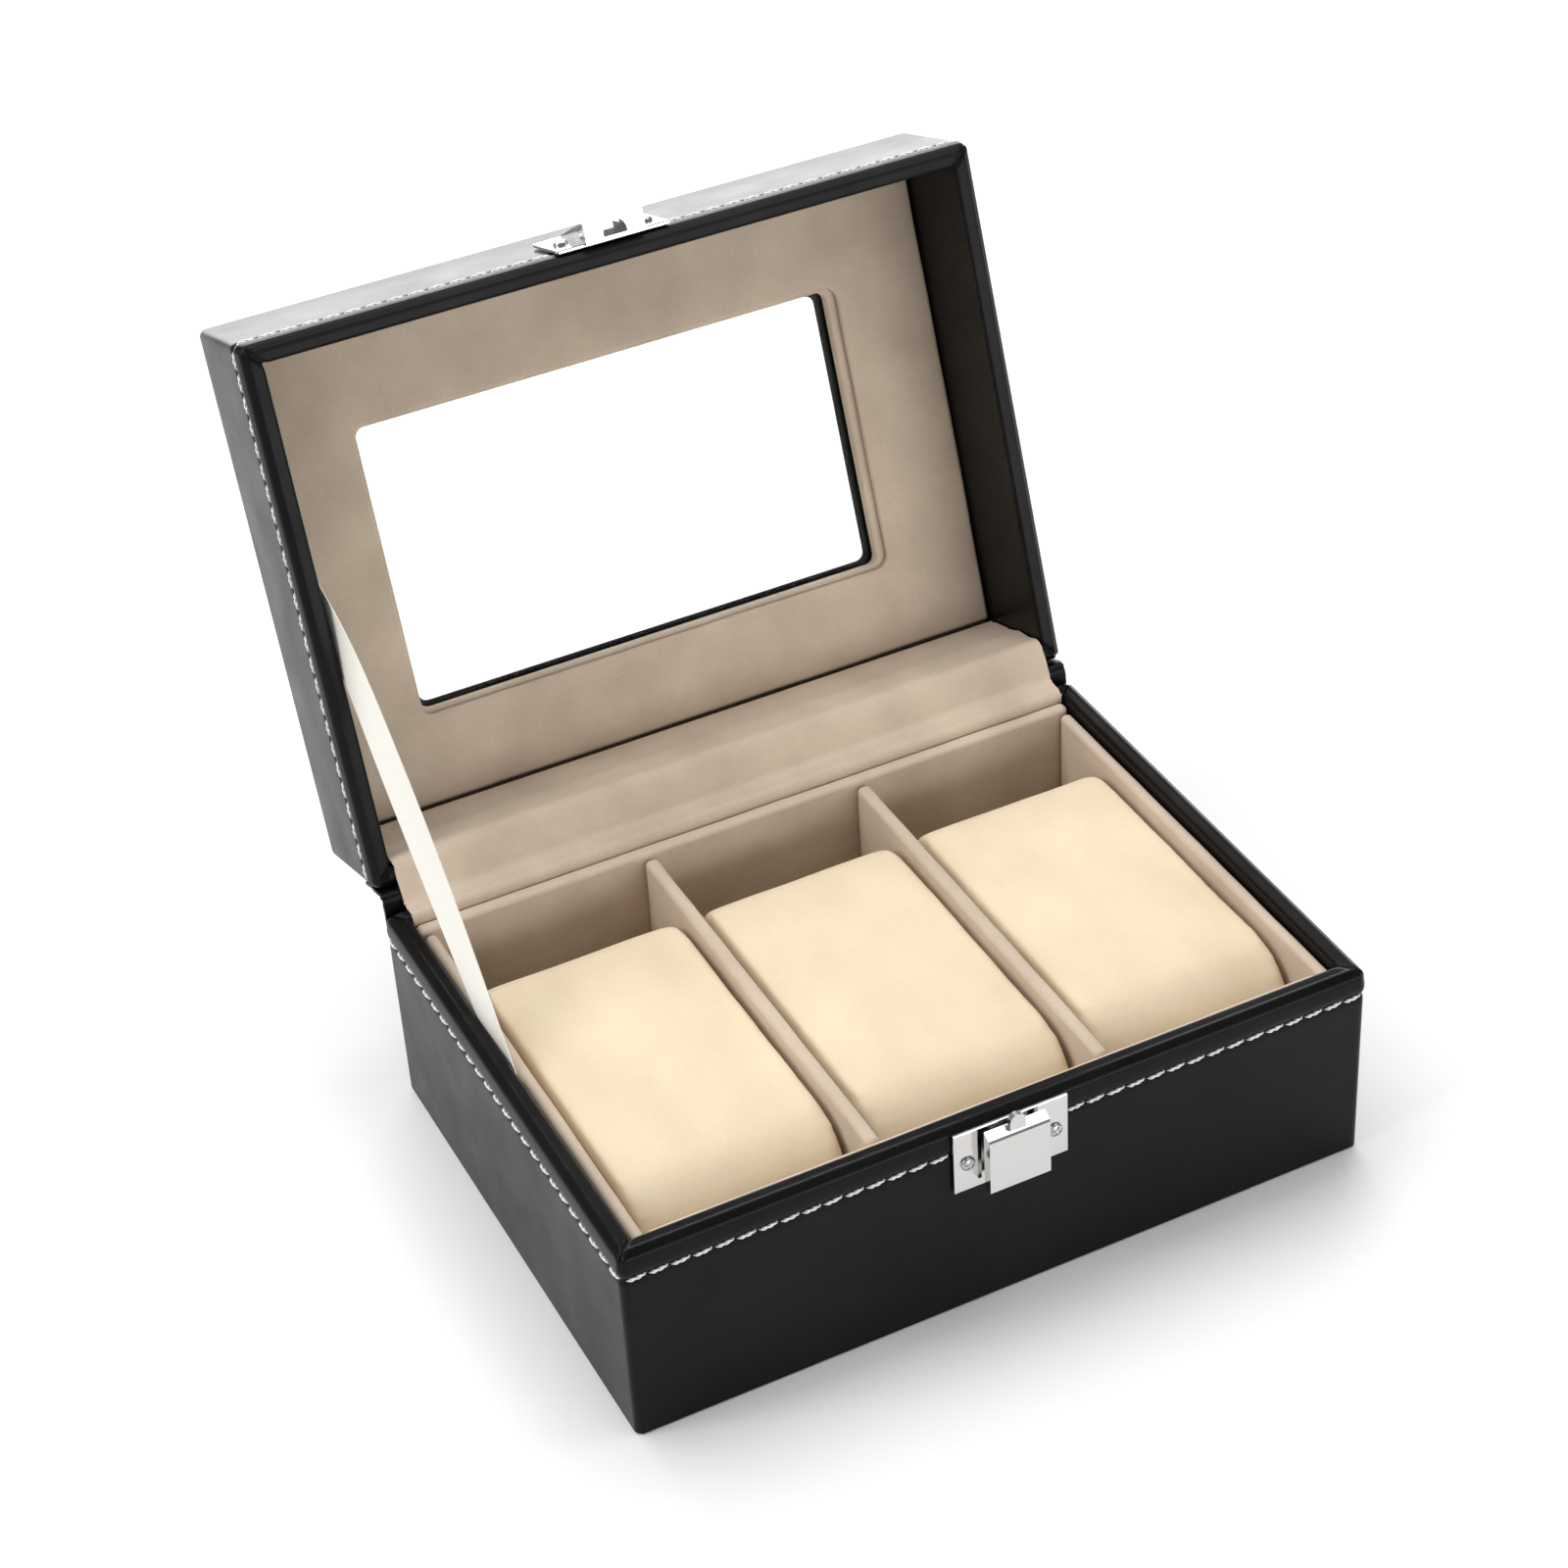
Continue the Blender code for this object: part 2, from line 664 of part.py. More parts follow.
def clasp_spring():
    """A short coil spring between the plate and the button."""
    turns = 2
    coil_radius = 0.0026
    wire_radius = 0.0003
    start = CLASP_FACE - CLASP_PLATE - CLEAR - wire_radius
    stop = BUTTON_FRONT + SHEET + CLEAR + wire_radius
    points_per_turn = 14
    count = int(turns * points_per_turn) + 1
    curve = bpy.data.curves.new("clasp_spring", "CURVE")
    curve.dimensions = "3D"
    curve.bevel_depth = wire_radius
    curve.bevel_resolution = 1
    curve.use_fill_caps = True
    spline = curve.splines.new("POLY")
    spline.points.add(count - 1)
    for index, point in enumerate(spline.points):
        share = index / (count - 1)
        angle = 2 * math.pi * turns * share
        y = start + (stop - start) * share
        height = (CLASP_LOW + CLASP_HIGH) / 2 + coil_radius * math.sin(angle)
        point.co = (coil_radius * math.cos(angle), y, height, 1.0)
    curve.materials.append(make_material("clasp_spring", *LOOKS["steel"]))
    made = bpy.data.objects.new("clasp_spring", curve)
    bpy.context.scene.collection.objects.link(made)


def clasp_lid_plate(hinge, place):
    """Plate with a wedge-shaped nose, which has an arched pocket for the button's catch."""
    half = CLASP_WIDTH / 2
    face = CLASP_FACE - CLASP_PLATE
    plate = box((-half, face, LATCH_LOW), (half, CLASP_FACE, LATCH_HIGH), 0.0002)
    made = shift(add_object("clasp_lid_plate", plate, "chrome", hinge), place)
    hole_radius = SCREW_RADIUS + CLEAR
    screw_holes(made, CLASP_FACE - 0.002, CLASP_FACE + 0.002, latch_screw_height(), hole_radius, hinge)
    inside = face + CLASP_PLATE / 2
    nose_profile = [
        (inside, NOSE_LOW),
        (BUTTON_FRONT - 0.0006, NOSE_LOW),
        (BUTTON_FRONT - 0.0006, NOSE_LOW + 0.0014),
        (face - 0.0004, LATCH_HIGH - 0.0015),
        (inside, LATCH_HIGH - 0.0015),
    ]
    nose_half = BUTTON_WIDTH / 2
    nose = prism(nose_profile, -nose_half, nose_half)
    bmesh.ops.translate(nose, vec=-Vector(place), verts=nose.verts)
    cut(made, nose, "UNION")
    pocket_half = 0.0026
    outline = [(-pocket_half, face - 0.0004), (pocket_half, face - 0.0004)]
    outline += arc((0, BUTTON_FRONT + 0.0025), pocket_half, 0, -180, 10)
    pocket = slab(outline, NOSE_LOW - 0.001, NOSE_LOW + 0.0039)
    bmesh.ops.translate(pocket, vec=-Vector(place), verts=pocket.verts)
    cut(made, pocket)
    head_face = face - CLEAR
    for side, name in ((-1, "left"), (1, "right")):
        screw = screw_solid(side * SCREW_OFFSET, head_face, latch_screw_height(), WALL - 0.0004)
        round_off(shift(add_object(f"clasp_lid_screw_{name}", screw, "steel", hinge), place))


# Flexible pieces, drawn at rest with the lid open


def opened(y, z):
    """Where a point of the closed lid is once the lid is open."""
    turned = Matrix.Rotation(-OPEN_ANGLE, 2) @ Vector((y - HINGE_Y, z - HINGE_Z))
    return turned + Vector((HINGE_Y, HINGE_Z))


def hinge_webs():
    """Leather web along the outside of the back and velvet web along the inside."""
    base_corner = Vector((DEPTH / 2, BASE_HEIGHT))
    lid_corner = opened(DEPTH / 2, LID_RIM)
    along_lid = (opened(DEPTH / 2, LID_TOP) - lid_corner).normalized()
    away = Vector((along_lid.y, -along_lid.x))
    stand_off = CLEAR + WEB
    outside = [
        base_corner + Vector((stand_off, -0.0070)),
        base_corner + Vector((stand_off, -0.0008)),
        lid_corner + away * stand_off * 1.3 + along_lid * 0.0004,
        lid_corner + away * stand_off + along_lid * 0.0090,
    ]
    half = WIDTH / 2 - 0.0006
    add_object("hinge_leather", prism(strip_profile(outside, WEB), -half, half), "leather")
    inner_corner = opened(DEPTH / 2 - WALL, LID_RIM)
    across_rim = (inner_corner - lid_corner).normalized()
    before_rim = Vector((-across_rim.y, across_rim.x))
    inside = [
        Vector((DEPTH / 2 - WALL + 0.0004, BASE_HEIGHT + stand_off)),
        base_corner + Vector((-0.0002, stand_off)),
        lid_corner + before_rim * 1.5 * stand_off + across_rim * 0.0002,
        inner_corner + before_rim * stand_off + across_rim * 0.0002,
    ]
    half = inner_half_x() - 0.0004
    add_object("hinge_velvet", prism(strip_profile(inside, WEB), -half, half), "velvet")


def stay_ribbon():
    """Ribbon from behind the left liner to the left wall of the lid."""
    low = Vector((0.0020, LINER_TOP - 0.0060))
    high = opened(-0.0080, 0.0600)
    along = (high - low).normalized()
    across = Vector((-along.y, along.x)) * RIBBON_WIDTH / 2
    x = -inner_half_x() + (RIBBON_SLOT - CLEAR) / 2 - CLEAR / 2
    corners = [tuple(low + across), tuple(high + across), tuple(high - across), tuple(low - across)]
    add_object("stay_ribbon", prism(corners, x - RIBBON / 2, x + RIBBON / 2), "satin")


def main():
    clear_scene()
    base_underside()
    base_boards()
    base_leather()
    liners()
    dividers()
    clasp_base()
    clasp_spring()
    clasp_button()
    pillows()
    place = (0, HINGE_Y, HINGE_Z)
    hinge = add_empty("lid_hinge", place, -OPEN_ANGLE)
    lid_boards(hinge, place)
    lid_leather(hinge, place)
    lid_window(hinge, place)
    lid_back_velvet(hinge, place)
    clasp_lid_plate(hinge, place)
    hinge_webs()
    stay_ribbon()


main()
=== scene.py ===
"""Watch box on a pale studio floor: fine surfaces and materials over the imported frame.

Metres, +Z up, the clasp on the -Y side. Pieces of the lid are drawn closed and then turned open.
"""

import json
import math

import bmesh
import bpy
import numpy as np
from mathutils import Matrix, Vector, noise


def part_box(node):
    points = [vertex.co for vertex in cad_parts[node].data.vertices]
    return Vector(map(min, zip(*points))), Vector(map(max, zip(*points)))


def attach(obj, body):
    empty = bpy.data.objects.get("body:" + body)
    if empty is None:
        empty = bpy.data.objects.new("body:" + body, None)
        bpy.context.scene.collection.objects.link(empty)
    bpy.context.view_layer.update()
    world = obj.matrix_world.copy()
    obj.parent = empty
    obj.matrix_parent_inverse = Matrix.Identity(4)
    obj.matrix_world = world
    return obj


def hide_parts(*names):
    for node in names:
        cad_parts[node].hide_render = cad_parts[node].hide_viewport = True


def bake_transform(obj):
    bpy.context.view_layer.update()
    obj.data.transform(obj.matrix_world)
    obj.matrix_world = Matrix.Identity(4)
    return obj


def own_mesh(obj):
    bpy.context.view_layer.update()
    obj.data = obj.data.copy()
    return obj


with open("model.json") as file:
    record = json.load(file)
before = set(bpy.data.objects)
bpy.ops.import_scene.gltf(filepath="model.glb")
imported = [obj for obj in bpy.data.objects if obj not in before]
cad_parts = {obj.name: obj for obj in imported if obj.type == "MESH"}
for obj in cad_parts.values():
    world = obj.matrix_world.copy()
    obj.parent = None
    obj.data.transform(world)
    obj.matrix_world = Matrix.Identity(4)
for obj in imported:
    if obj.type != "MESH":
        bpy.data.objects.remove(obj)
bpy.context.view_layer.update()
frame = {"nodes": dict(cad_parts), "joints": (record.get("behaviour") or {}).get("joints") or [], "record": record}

# Sizes of the box
WIDTH = 0.160
DEPTH = 0.114
BASE_TOP = 0.046
LID_RIM = 0.0465
LID_TOP = 0.0765
LEATHER = 0.0008
WALL = 0.0043
CORNER = 0.0016
INSIDE_X = WIDTH / 2 - WALL
INSIDE_Y = DEPTH / 2 - WALL

# Edges and seams of the leather
INNER_EDGE = 0.0008
BASE_SEAM = 0.0060
LID_SEAM = 0.0052
GROOVE = 0.00035

# The folded edge outside the rim's flat top, as (inset, distance below the rim)
RIM_CHAMFER = (
    (0.00000, 0.00230),
    (0.00006, 0.00160),
    (0.00022, 0.00118),
    (0.00050, 0.00086),
    (0.00085, 0.00058),
    (0.00120, 0.00030),
    (0.00142, 0.00010),
    (0.00158, 0.00001),
    (0.00172, 0.00000),
    (0.00188, 0.00004),
    (0.00210, 0.00010),
    (0.00260, 0.00010),
)

# Window
WINDOW_CENTRE = (-0.00065, 0.0009)
WINDOW_SIZE = (0.1099, 0.0630)
WINDOW_RADIUS = 0.0030
GLASS_OPENING_CENTRE = (-0.00145, 0.0009)
GLASS_OPENING = (0.1049, 0.0596)
GLASS_OPENING_RADIUS = 0.0020
BEAD_INNER = 0.0009
BEAD_OUTER = 0.0008
BEAD_EXTRA = 0.0011  # the strip is this much thicker on the right
LINING_Z = LID_TOP - 0.0065

# Stitches
STITCH_PITCH = 0.0044
STITCH_LENGTH = 0.0040
THREAD_RADIUS = 0.00040

# Clasp
SHEET = 0.0008
CLEAR = 0.0003
HEAD_FACE = -DEPTH / 2 - CLEAR - SHEET - CLEAR
BUTTON_FRONT = -0.0616
SPRING_HEIGHT = 0.0380
SCREW_OFFSET = 0.0094
BASE_SCREW_HEIGHT = 0.0376
LID_SCREW_HEIGHT = 0.0535
CLASP_HALF = 0.0123

# Velvet boards and pillows
VELVET_BOARDS = ("liner_front", "liner_back", "liner_left", "liner_right", "divider_left", "divider_right")
BOARD_EDGE = 0.0012
BOARD_GRID = 0.004
PILLOW_NAMES = ("pillow_left", "pillow_middle", "pillow_right")
PILLOW_VOXEL = 0.0017
CLOTH_FRAMES = 20

# Lid joint
LID_JOINT = next(joint for joint in frame["joints"] if joint["name"] == "lid_hinge")
HINGE = Vector(LID_JOINT["pos_m"])
OPEN_ANGLE = -math.radians(LID_JOINT["range_deg"][0])
OPENING = Matrix.Translation(HINGE) @ Matrix.Rotation(-OPEN_ANGLE, 4, "X") @ Matrix.Translation(-HINGE)

# Camera
CAMERA_TARGET = Vector((-0.01542, 0.0, 0.09082))
CAMERA_AZIMUTH = math.radians(-24.53)
CAMERA_ELEVATION = math.radians(36.88)
CAMERA_ROLL = math.radians(-3.70)
CAMERA_DISTANCE = 0.68194
CAMERA_LENS = 82.9


# Materials


class Shading:
    """A Principled material and short ways to wire procedural detail into it."""

    def __init__(self, name, colour, roughness, **sockets):
        self.material = bpy.data.materials.new(name)
        self.material.use_nodes = True
        self.tree = self.material.node_tree
        self.shader = self.tree.nodes["Principled BSDF"]
        self.set("Base Color", (*colour, 1.0))
        self.set("Roughness", roughness)
        for socket, value in sockets.items():
            self.set(socket.replace("_", " "), value)
        self.place = self.node("ShaderNodeTexCoord").outputs["Object"]
        self.height = None

    def set(self, socket, value):
        self.shader.inputs[socket].default_value = value

    def node(self, kind, **values):
        made = self.tree.nodes.new(kind)
        for key, value in values.items():
            if key in made.inputs:
                made.inputs[key].default_value = value
            else:
                setattr(made, key, value)
        return made

    def link(self, source, target):
        self.tree.links.new(source, target)

    def noise(self, scale, detail=3.0, stretch=None):
        texture = self.node("ShaderNodeTexNoise", Scale=scale, Detail=detail)
        self.link(self.stretched(stretch), texture.inputs["Vector"])
        return texture.outputs["Fac"]

    def cells(self, scale, feature="F1"):
        texture = self.node("ShaderNodeTexVoronoi", feature=feature, Scale=scale)
        self.link(self.place, texture.inputs["Vector"])
        return texture.outputs["Distance"]

    def stretched(self, stretch):
        if stretch is None:
            return self.place
        mapping = self.node("ShaderNodeMapping", Scale=stretch)
        self.link(self.place, mapping.inputs["Vector"])
        return mapping.outputs["Vector"]

    def ramp(self, source, low, high, start, stop):
        """Map source from low..high to start..stop."""
        mapped = self.node("ShaderNodeMapRange")
        mapped.inputs["From Min"].default_value = low
        mapped.inputs["From Max"].default_value = high
        mapped.inputs["To Min"].default_value = start
        mapped.inputs["To Max"].default_value = stop
        self.link(source, mapped.inputs["Value"])
        return mapped.outputs["Result"]

    def colours(self, source, stops):
        ramp = self.node("ShaderNodeValToRGB")
        elements = ramp.color_ramp.elements
        while len(elements) < len(stops):
            elements.new(0.5)
        for element, (position, colour) in zip(elements, stops):
            element.position = position
            element.color = (*colour, 1.0)
        self.link(source, ramp.inputs["Fac"])
        return ramp.outputs["Color"]

    def bump(self, source, strength, distance):
        made = self.node("ShaderNodeBump", Strength=strength, Distance=distance)
        self.link(source, made.inputs["Height"])
        if self.height is not None:
            self.link(self.height, made.inputs["Normal"])
        self.height = made.outputs["Normal"]

    def done(self):
        if self.height is not None:
            self.link(self.height, self.shader.inputs["Normal"])
        return self.material


def leather_material():
    """Smooth black coated leather: a fine pebbled grain, with soft changes of gloss."""
    made = Shading("black_leather", (0.004, 0.004, 0.004), 0.33, IOR=1.215)
    shades = [(0.30, (0.0030, 0.0030, 0.0032)), (0.70, (0.0055, 0.0054, 0.0056))]
    tint = made.colours(made.noise(60, 4), shades)
    made.link(tint, made.shader.inputs["Base Color"])
    made.link(made.ramp(made.noise(90, 5), 0.3, 0.7, 0.28, 0.36), made.shader.inputs["Roughness"])
    made.bump(made.cells(2100), 0.10, 0.00012)
    made.bump(made.noise(700, 4), 0.10, 0.00010)
    made.bump(made.noise(60, 2), 0.05, 0.00020)
    return made.done()


def velvet_material(name, dark, light, sheen):
    """Short pile: a mottled nap, fine fibres, and a pale sheen at the edges."""
    middle = [(a + b) / 2 for a, b in zip(dark, light)]
    made = Shading(name, middle, 0.92)
    made.set("Sheen Weight", sheen)
    made.set("Sheen Roughness", 0.45)
    made.set("Sheen Tint", (1.0, 0.93, 0.82, 1.0))
    made.set("Specular IOR Level", 0.15)
    patches = made.noise(70, 4, (1.0, 0.55, 1.0))
    fibres = made.noise(2600, 2)
    both = made.node("ShaderNodeMath", operation="MULTIPLY_ADD")
    made.link(fibres, both.inputs[0])
    both.inputs[1].default_value = 0.45
    made.link(patches, both.inputs[2])
    tint = made.colours(made.ramp(both.outputs[0], 0.45, 1.0, 0.0, 1.0), [(0.0, dark), (1.0, light)])
    made.link(tint, made.shader.inputs["Base Color"])
    made.bump(fibres, 0.30, 0.00015)
    made.bump(made.noise(420, 3), 0.16, 0.00025)
    return made.done()


def chrome_material():
    """Bright plating with faint rubbing marks."""
    made = Shading("polished_chrome", (0.66, 0.65, 0.64), 0.10, Metallic=1.0)
    made.link(made.ramp(made.noise(500, 3), 0.3, 0.7, 0.07, 0.16), made.shader.inputs["Roughness"])
    made.bump(made.noise(1500, 2, (1.0, 1.0, 12.0)), 0.05, 0.00004)
    made.bump(made.noise(240, 2), 0.10, 0.00040)
    return made.done()


def steel_material():
    made = Shading("screw_steel", (0.50, 0.50, 0.51), 0.25, Metallic=1.0)
    made.link(made.ramp(made.noise(900, 3), 0.3, 0.7, 0.18, 0.34), made.shader.inputs["Roughness"])
    made.bump(made.noise(2500, 2), 0.06, 0.00004)
    return made.done()


def satin_material():
    """Ivory satin: fine ribs across the ribbon and a soft shine."""
    made = Shading("ivory_satin", (0.93, 0.91, 0.84), 0.38)
    made.set("Sheen Weight", 0.35)
    made.set("Specular IOR Level", 0.6)
    ribs = made.noise(2400, 2, (1.0, 6.0, 6.0))
    tint = made.colours(ribs, [(0.3, (0.74, 0.71, 0.63)), (0.7, (0.84, 0.82, 0.75))])
    made.link(tint, made.shader.inputs["Base Color"])
    made.bump(ribs, 0.12, 0.00008)
    return made.done()


def thread_material():
    """White waxed thread with the twist of its plies."""
    made = Shading("white_thread", (0.86, 0.85, 0.82), 0.60)
    made.set("Sheen Weight", 0.2)
    plies = made.noise(3200, 2)
    tint = made.colours(plies, [(0.3, (0.70, 0.69, 0.66)), (0.65, (0.94, 0.93, 0.91))])
    made.link(tint, made.shader.inputs["Base Color"])
    made.bump(plies, 0.35, 0.00012)
    return made.done()


def board_material():
    made = Shading("fibreboard", (0.42, 0.30, 0.19), 0.85)
    fibres = made.noise(900, 5)
    tint = made.colours(fibres, [(0.3, (0.34, 0.24, 0.15)), (0.7, (0.50, 0.37, 0.25))])
    made.link(tint, made.shader.inputs["Base Color"])
    made.bump(fibres, 0.3, 0.0002)
    return made.done()


def felt_material():
    made = Shading("black_felt", (0.02, 0.02, 0.02), 0.95)
    fibres = made.noise(1500, 5)
    tint = made.colours(fibres, [(0.3, (0.012, 0.012, 0.012)), (0.7, (0.035, 0.035, 0.036))])
    made.link(tint, made.shader.inputs["Base Color"])
    made.set("Sheen Weight", 0.3)
    made.bump(fibres, 0.5, 0.0004)
    return made.done()


def glass_material():
    made = Shading("clear_glass", (0.985, 0.995, 0.99), 0.01)
    made.set("Transmission Weight", 1.0)
    made.set("IOR", 1.15)
    made.link(made.ramp(made.noise(30, 2), 0.3, 0.7, 0.004, 0.018), made.shader.inputs["Roughness"])
    return made.done()


def floor_material():
    made = Shading("pale_floor", (0.94, 0.94, 0.94), 0.75)
    made.set("Specular IOR Level", 0.2)
    made.link(made.ramp(made.noise(12, 3), 0.3, 0.7, 0.68, 0.82), made.shader.inputs["Roughness"])
    return made.done()


LEATHER_LOOK = leather_material()
VELVET_LOOK = velvet_material("beige_velvet", (0.50, 0.405, 0.315), (0.66, 0.545, 0.430), 0.18)
PILLOW_LOOK = velvet_material("cream_velvet", (0.735, 0.605, 0.425), (0.84, 0.71, 0.520), 0.10)
CHROME_LOOK = chrome_material()
STEEL_LOOK = steel_material()
SATIN_LOOK = satin_material()
THREAD_LOOK = thread_material()
BOARD_LOOK = board_material()
FELT_LOOK = felt_material()
GLASS_LOOK = glass_material()


# Building


def to_object(name, mesh_data, material, sharp=None):
    """Turn a bmesh into a smooth-shaded object."""
    bmesh.ops.recalc_face_normals(mesh_data, faces=mesh_data.faces)
    mesh = bpy.data.meshes.new(name)
    mesh_data.to_mesh(mesh)
    mesh_data.free()
    mesh.materials.append(material)
    mesh.shade_smooth()
    if sharp:
        mesh.set_sharp_from_angle(angle=math.radians(sharp))
    made = bpy.data.objects.new(name, mesh)
    bpy.context.scene.collection.objects.link(made)
    return made


def skin_rings(rings, closed_along, onto=None):
    """Quads between rings of equal point count, added to onto where that is given.

    The last ring meets the first when closed_along is set; otherwise each end gets a cap.
    """
    made = bmesh.new() if onto is None else onto
    loops = [[made.verts.new(point) for point in ring] for ring in rings]
    count = len(loops[0])
    followers = loops[1:] + loops[:1] if closed_along else loops[1:]
    for loop, following in zip(loops, followers):
        for index in range(count):
            beyond = (index + 1) % count
            made.faces.new((loop[index], loop[beyond], following[beyond], following[index]))
    if not closed_along:
        made.faces.new(loops[0][::-1])
        made.faces.new(loops[-1])
    return made


def corner_outline(half_x, half_y, radius, centre=(0.0, 0.0)):
    """A round-cornered rectangle, anticlockwise, with its points close together near the corners."""
    near = (0.0007, 0.0014, 0.0022, 0.0032, 0.0046, 0.0068, 0.0100)
    corners = ((1, 1, 0, 26), (-1, 1, 90, 18), (-1, -1, 180, 26), (1, -1, 270, 18))
    points = []
    for sign_x, sign_y, start, middle in corners:
        centre_x = centre[0] + sign_x * (half_x - radius)
        centre_y = centre[1] + sign_y * (half_y - radius)
        for step in range(9):
            angle = math.radians(start + 90 * step / 8)
            points.append((centre_x + radius * math.cos(angle), centre_y + radius * math.sin(angle)))
        heading = math.radians(start + 180)
        length = 2 * ((half_x if sign_x == sign_y else half_y) - radius)
        spans = list(near)
        spans += [near[-1] + (length - 2 * near[-1]) * step / middle for step in range(1, middle)]
        spans += [length - span for span in reversed(near)]
        from_x, from_y = points[-1]
        for span in spans:
            points.append((from_x + span * math.cos(heading), from_y + span * math.sin(heading)))
    return points


def wall_outline(inset):
    return corner_outline(WIDTH / 2 - inset, DEPTH / 2 - inset, max(CORNER - inset, 0.0004))


def window_outline(margin):
    half_x = WINDOW_SIZE[0] / 2 + margin
    half_y = WINDOW_SIZE[1] / 2 + margin
    return corner_outline(half_x, half_y, WINDOW_RADIUS + margin, WINDOW_CENTRE)


def glass_opening(margin):
    half_x = GLASS_OPENING[0] / 2 + margin
    half_y = GLASS_OPENING[1] / 2 + margin
    return corner_outline(half_x, half_y, GLASS_OPENING_RADIUS + margin, GLASS_OPENING_CENTRE)


def quarter(start, stop, steps):
    """Pairs (cos, sin) over a quarter turn or a part of one, angles in degrees."""
    angles = [math.radians(start + (stop - start) * step / steps) for step in range(steps + 1)]
    return [(math.cos(angle), math.sin(angle)) for angle in angles]


def rim_profile(foot, seam, inner_end):
    """(inset, distance from the rim) up the outside, over the rim and down the inside."""
    marks = [0.0040, 0.0024, 0.0016, 0.0010, 0.0006, 0.0003, 0.0]
    marks += [-mark for mark in reversed(marks[1:-1])]
    profile = [(0.0, foot), (0.0, (foot + seam) / 2), (0.0, seam + 0.0070)]
    for mark in marks:
        pinch = GROOVE * math.exp(-((mark / 0.0007) ** 2))
        swell = 0.00018 * max(0.0, math.sin(math.pi * min(max(-mark / 0.0045, 0.0), 1.0)))
        profile.append((pinch - swell, seam + mark))
    profile += RIM_CHAMFER
    profile += [(WALL - INNER_EDGE * (1 - c), INNER_EDGE * (1 - s) + 0.00008) for c, s in quarter(90, 0, 6)]
    profile += [(WALL, 0.0030), (WALL, inner_end)]
    return profile


def rim_back(foot, inner_end):
    """The leather's hidden face, which follows the outside at one thickness."""
    deep = 0.0013
    inner = WALL - LEATHER
    return [(inner, inner_end), (inner, deep), (2 * LEATHER, deep), (LEATHER, 0.003), (LEATHER, foot)]


def crease_depth(point, rim_distance):
    """How far the folded corner sinks along its mitre line."""
    across = (WIDTH / 2 - abs(point.x)) - (DEPTH / 2 - abs(point.y))
    if rim_distance > 0.004 or (WIDTH / 2 - abs(point.x)) > 0.012:
        return 0.0
    fade = 1.0 if rim_distance < 0.0015 else (0.004 - rim_distance) / 0.0025
    return 0.00030 * fade * math.exp(-((across / 0.00055) ** 2))


def age_leather(mesh_data, rim_height, direction):
    """Uneven stretch over the boards, and the folds at the four corners of the rim."""
    mesh_data.normal_update()
    moves = []
    for vertex in mesh_data.verts:
        rim_distance = (rim_height - vertex.co.z) * direction
        wave = noise.noise(vertex.co * 30.0) * 0.00004 + noise.noise(vertex.co * 110.0) * 0.00001
        if rim_distance < 0.0025:
            wave *= 0.5
        moves.append((vertex, wave - crease_depth(vertex.co, rim_distance)))
    for vertex, move in moves:
        vertex.co += vertex.normal * move


def base_leather():
    foot = BASE_TOP - 0.0003
    profile = rim_profile(foot, BASE_SEAM, 0.0100) + rim_back(foot, 0.0100)
    rings = [[(x, y, BASE_TOP - down) for x, y in wall_outline(inset)] for inset, down in profile]
    shell = skin_rings(rings, True)
    bmesh.ops.recalc_face_normals(shell, faces=shell.faces)
    age_leather(shell, BASE_TOP, 1)
    made = to_object("base_leather_skin", shell, LEATHER_LOOK, 50)
    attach(made, "base")
    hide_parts("base_leather")


def between(first, second, share):
    return [(a[0] + (b[0] - a[0]) * share, a[1] + (b[1] - a[1]) * share) for a, b in zip(first, second)]


def lid_leather():
    height = LID_TOP - LID_RIM
    board_face = LID_TOP - 0.0031
    inner_end = board_face - 0.0003 - LID_RIM
    edge = 0.0016
    profile = rim_profile(height - edge, LID_SEAM, inner_end)
    outer = [[(x, y, LID_RIM + up) for x, y in wall_outline(inset)] for inset, up in reversed(profile)]
    for c, s in quarter(0, 90, 6)[1:]:
        ring = wall_outline(edge * (1 - c))
        outer.append([(x, y, LID_TOP - edge * (1 - s)) for x, y in ring])
    top_edge = wall_outline(edge)
    soft = 0.00065
    window_edge = glass_opening(soft)
    for share in (0.08, 0.2, 0.35, 0.5, 0.65, 0.8, 0.92, 1.0):
        outer.append([(x, y, LID_TOP) for x, y in between(top_edge, window_edge, share)])
    for c, s in quarter(90, 0, 4)[1:]:
        ring = glass_opening(soft * (1 - c))
        outer.append([(x, y, LID_TOP - soft * (1 - s)) for x, y in ring])
    outer.append([(x, y, LID_TOP - LEATHER) for x, y in glass_opening(0.0)])
    outer.append([(x, y, LID_TOP - LEATHER) for x, y in wall_outline(0.0013)])
    for inset, up in reversed(rim_back(height - 0.0022, inner_end)):
        outer.append([(x, y, LID_RIM + up) for x, y in wall_outline(inset)])
    shell = skin_rings(outer, True)
    bmesh.ops.recalc_face_normals(shell, faces=shell.faces)
    age_leather(shell, LID_RIM, -1)
    made = to_object("lid_leather_skin", shell, LEATHER_LOOK, 50)
    made.data.transform(OPENING)
    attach(made, "lid")
    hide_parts("lid_leather")


# Stitching


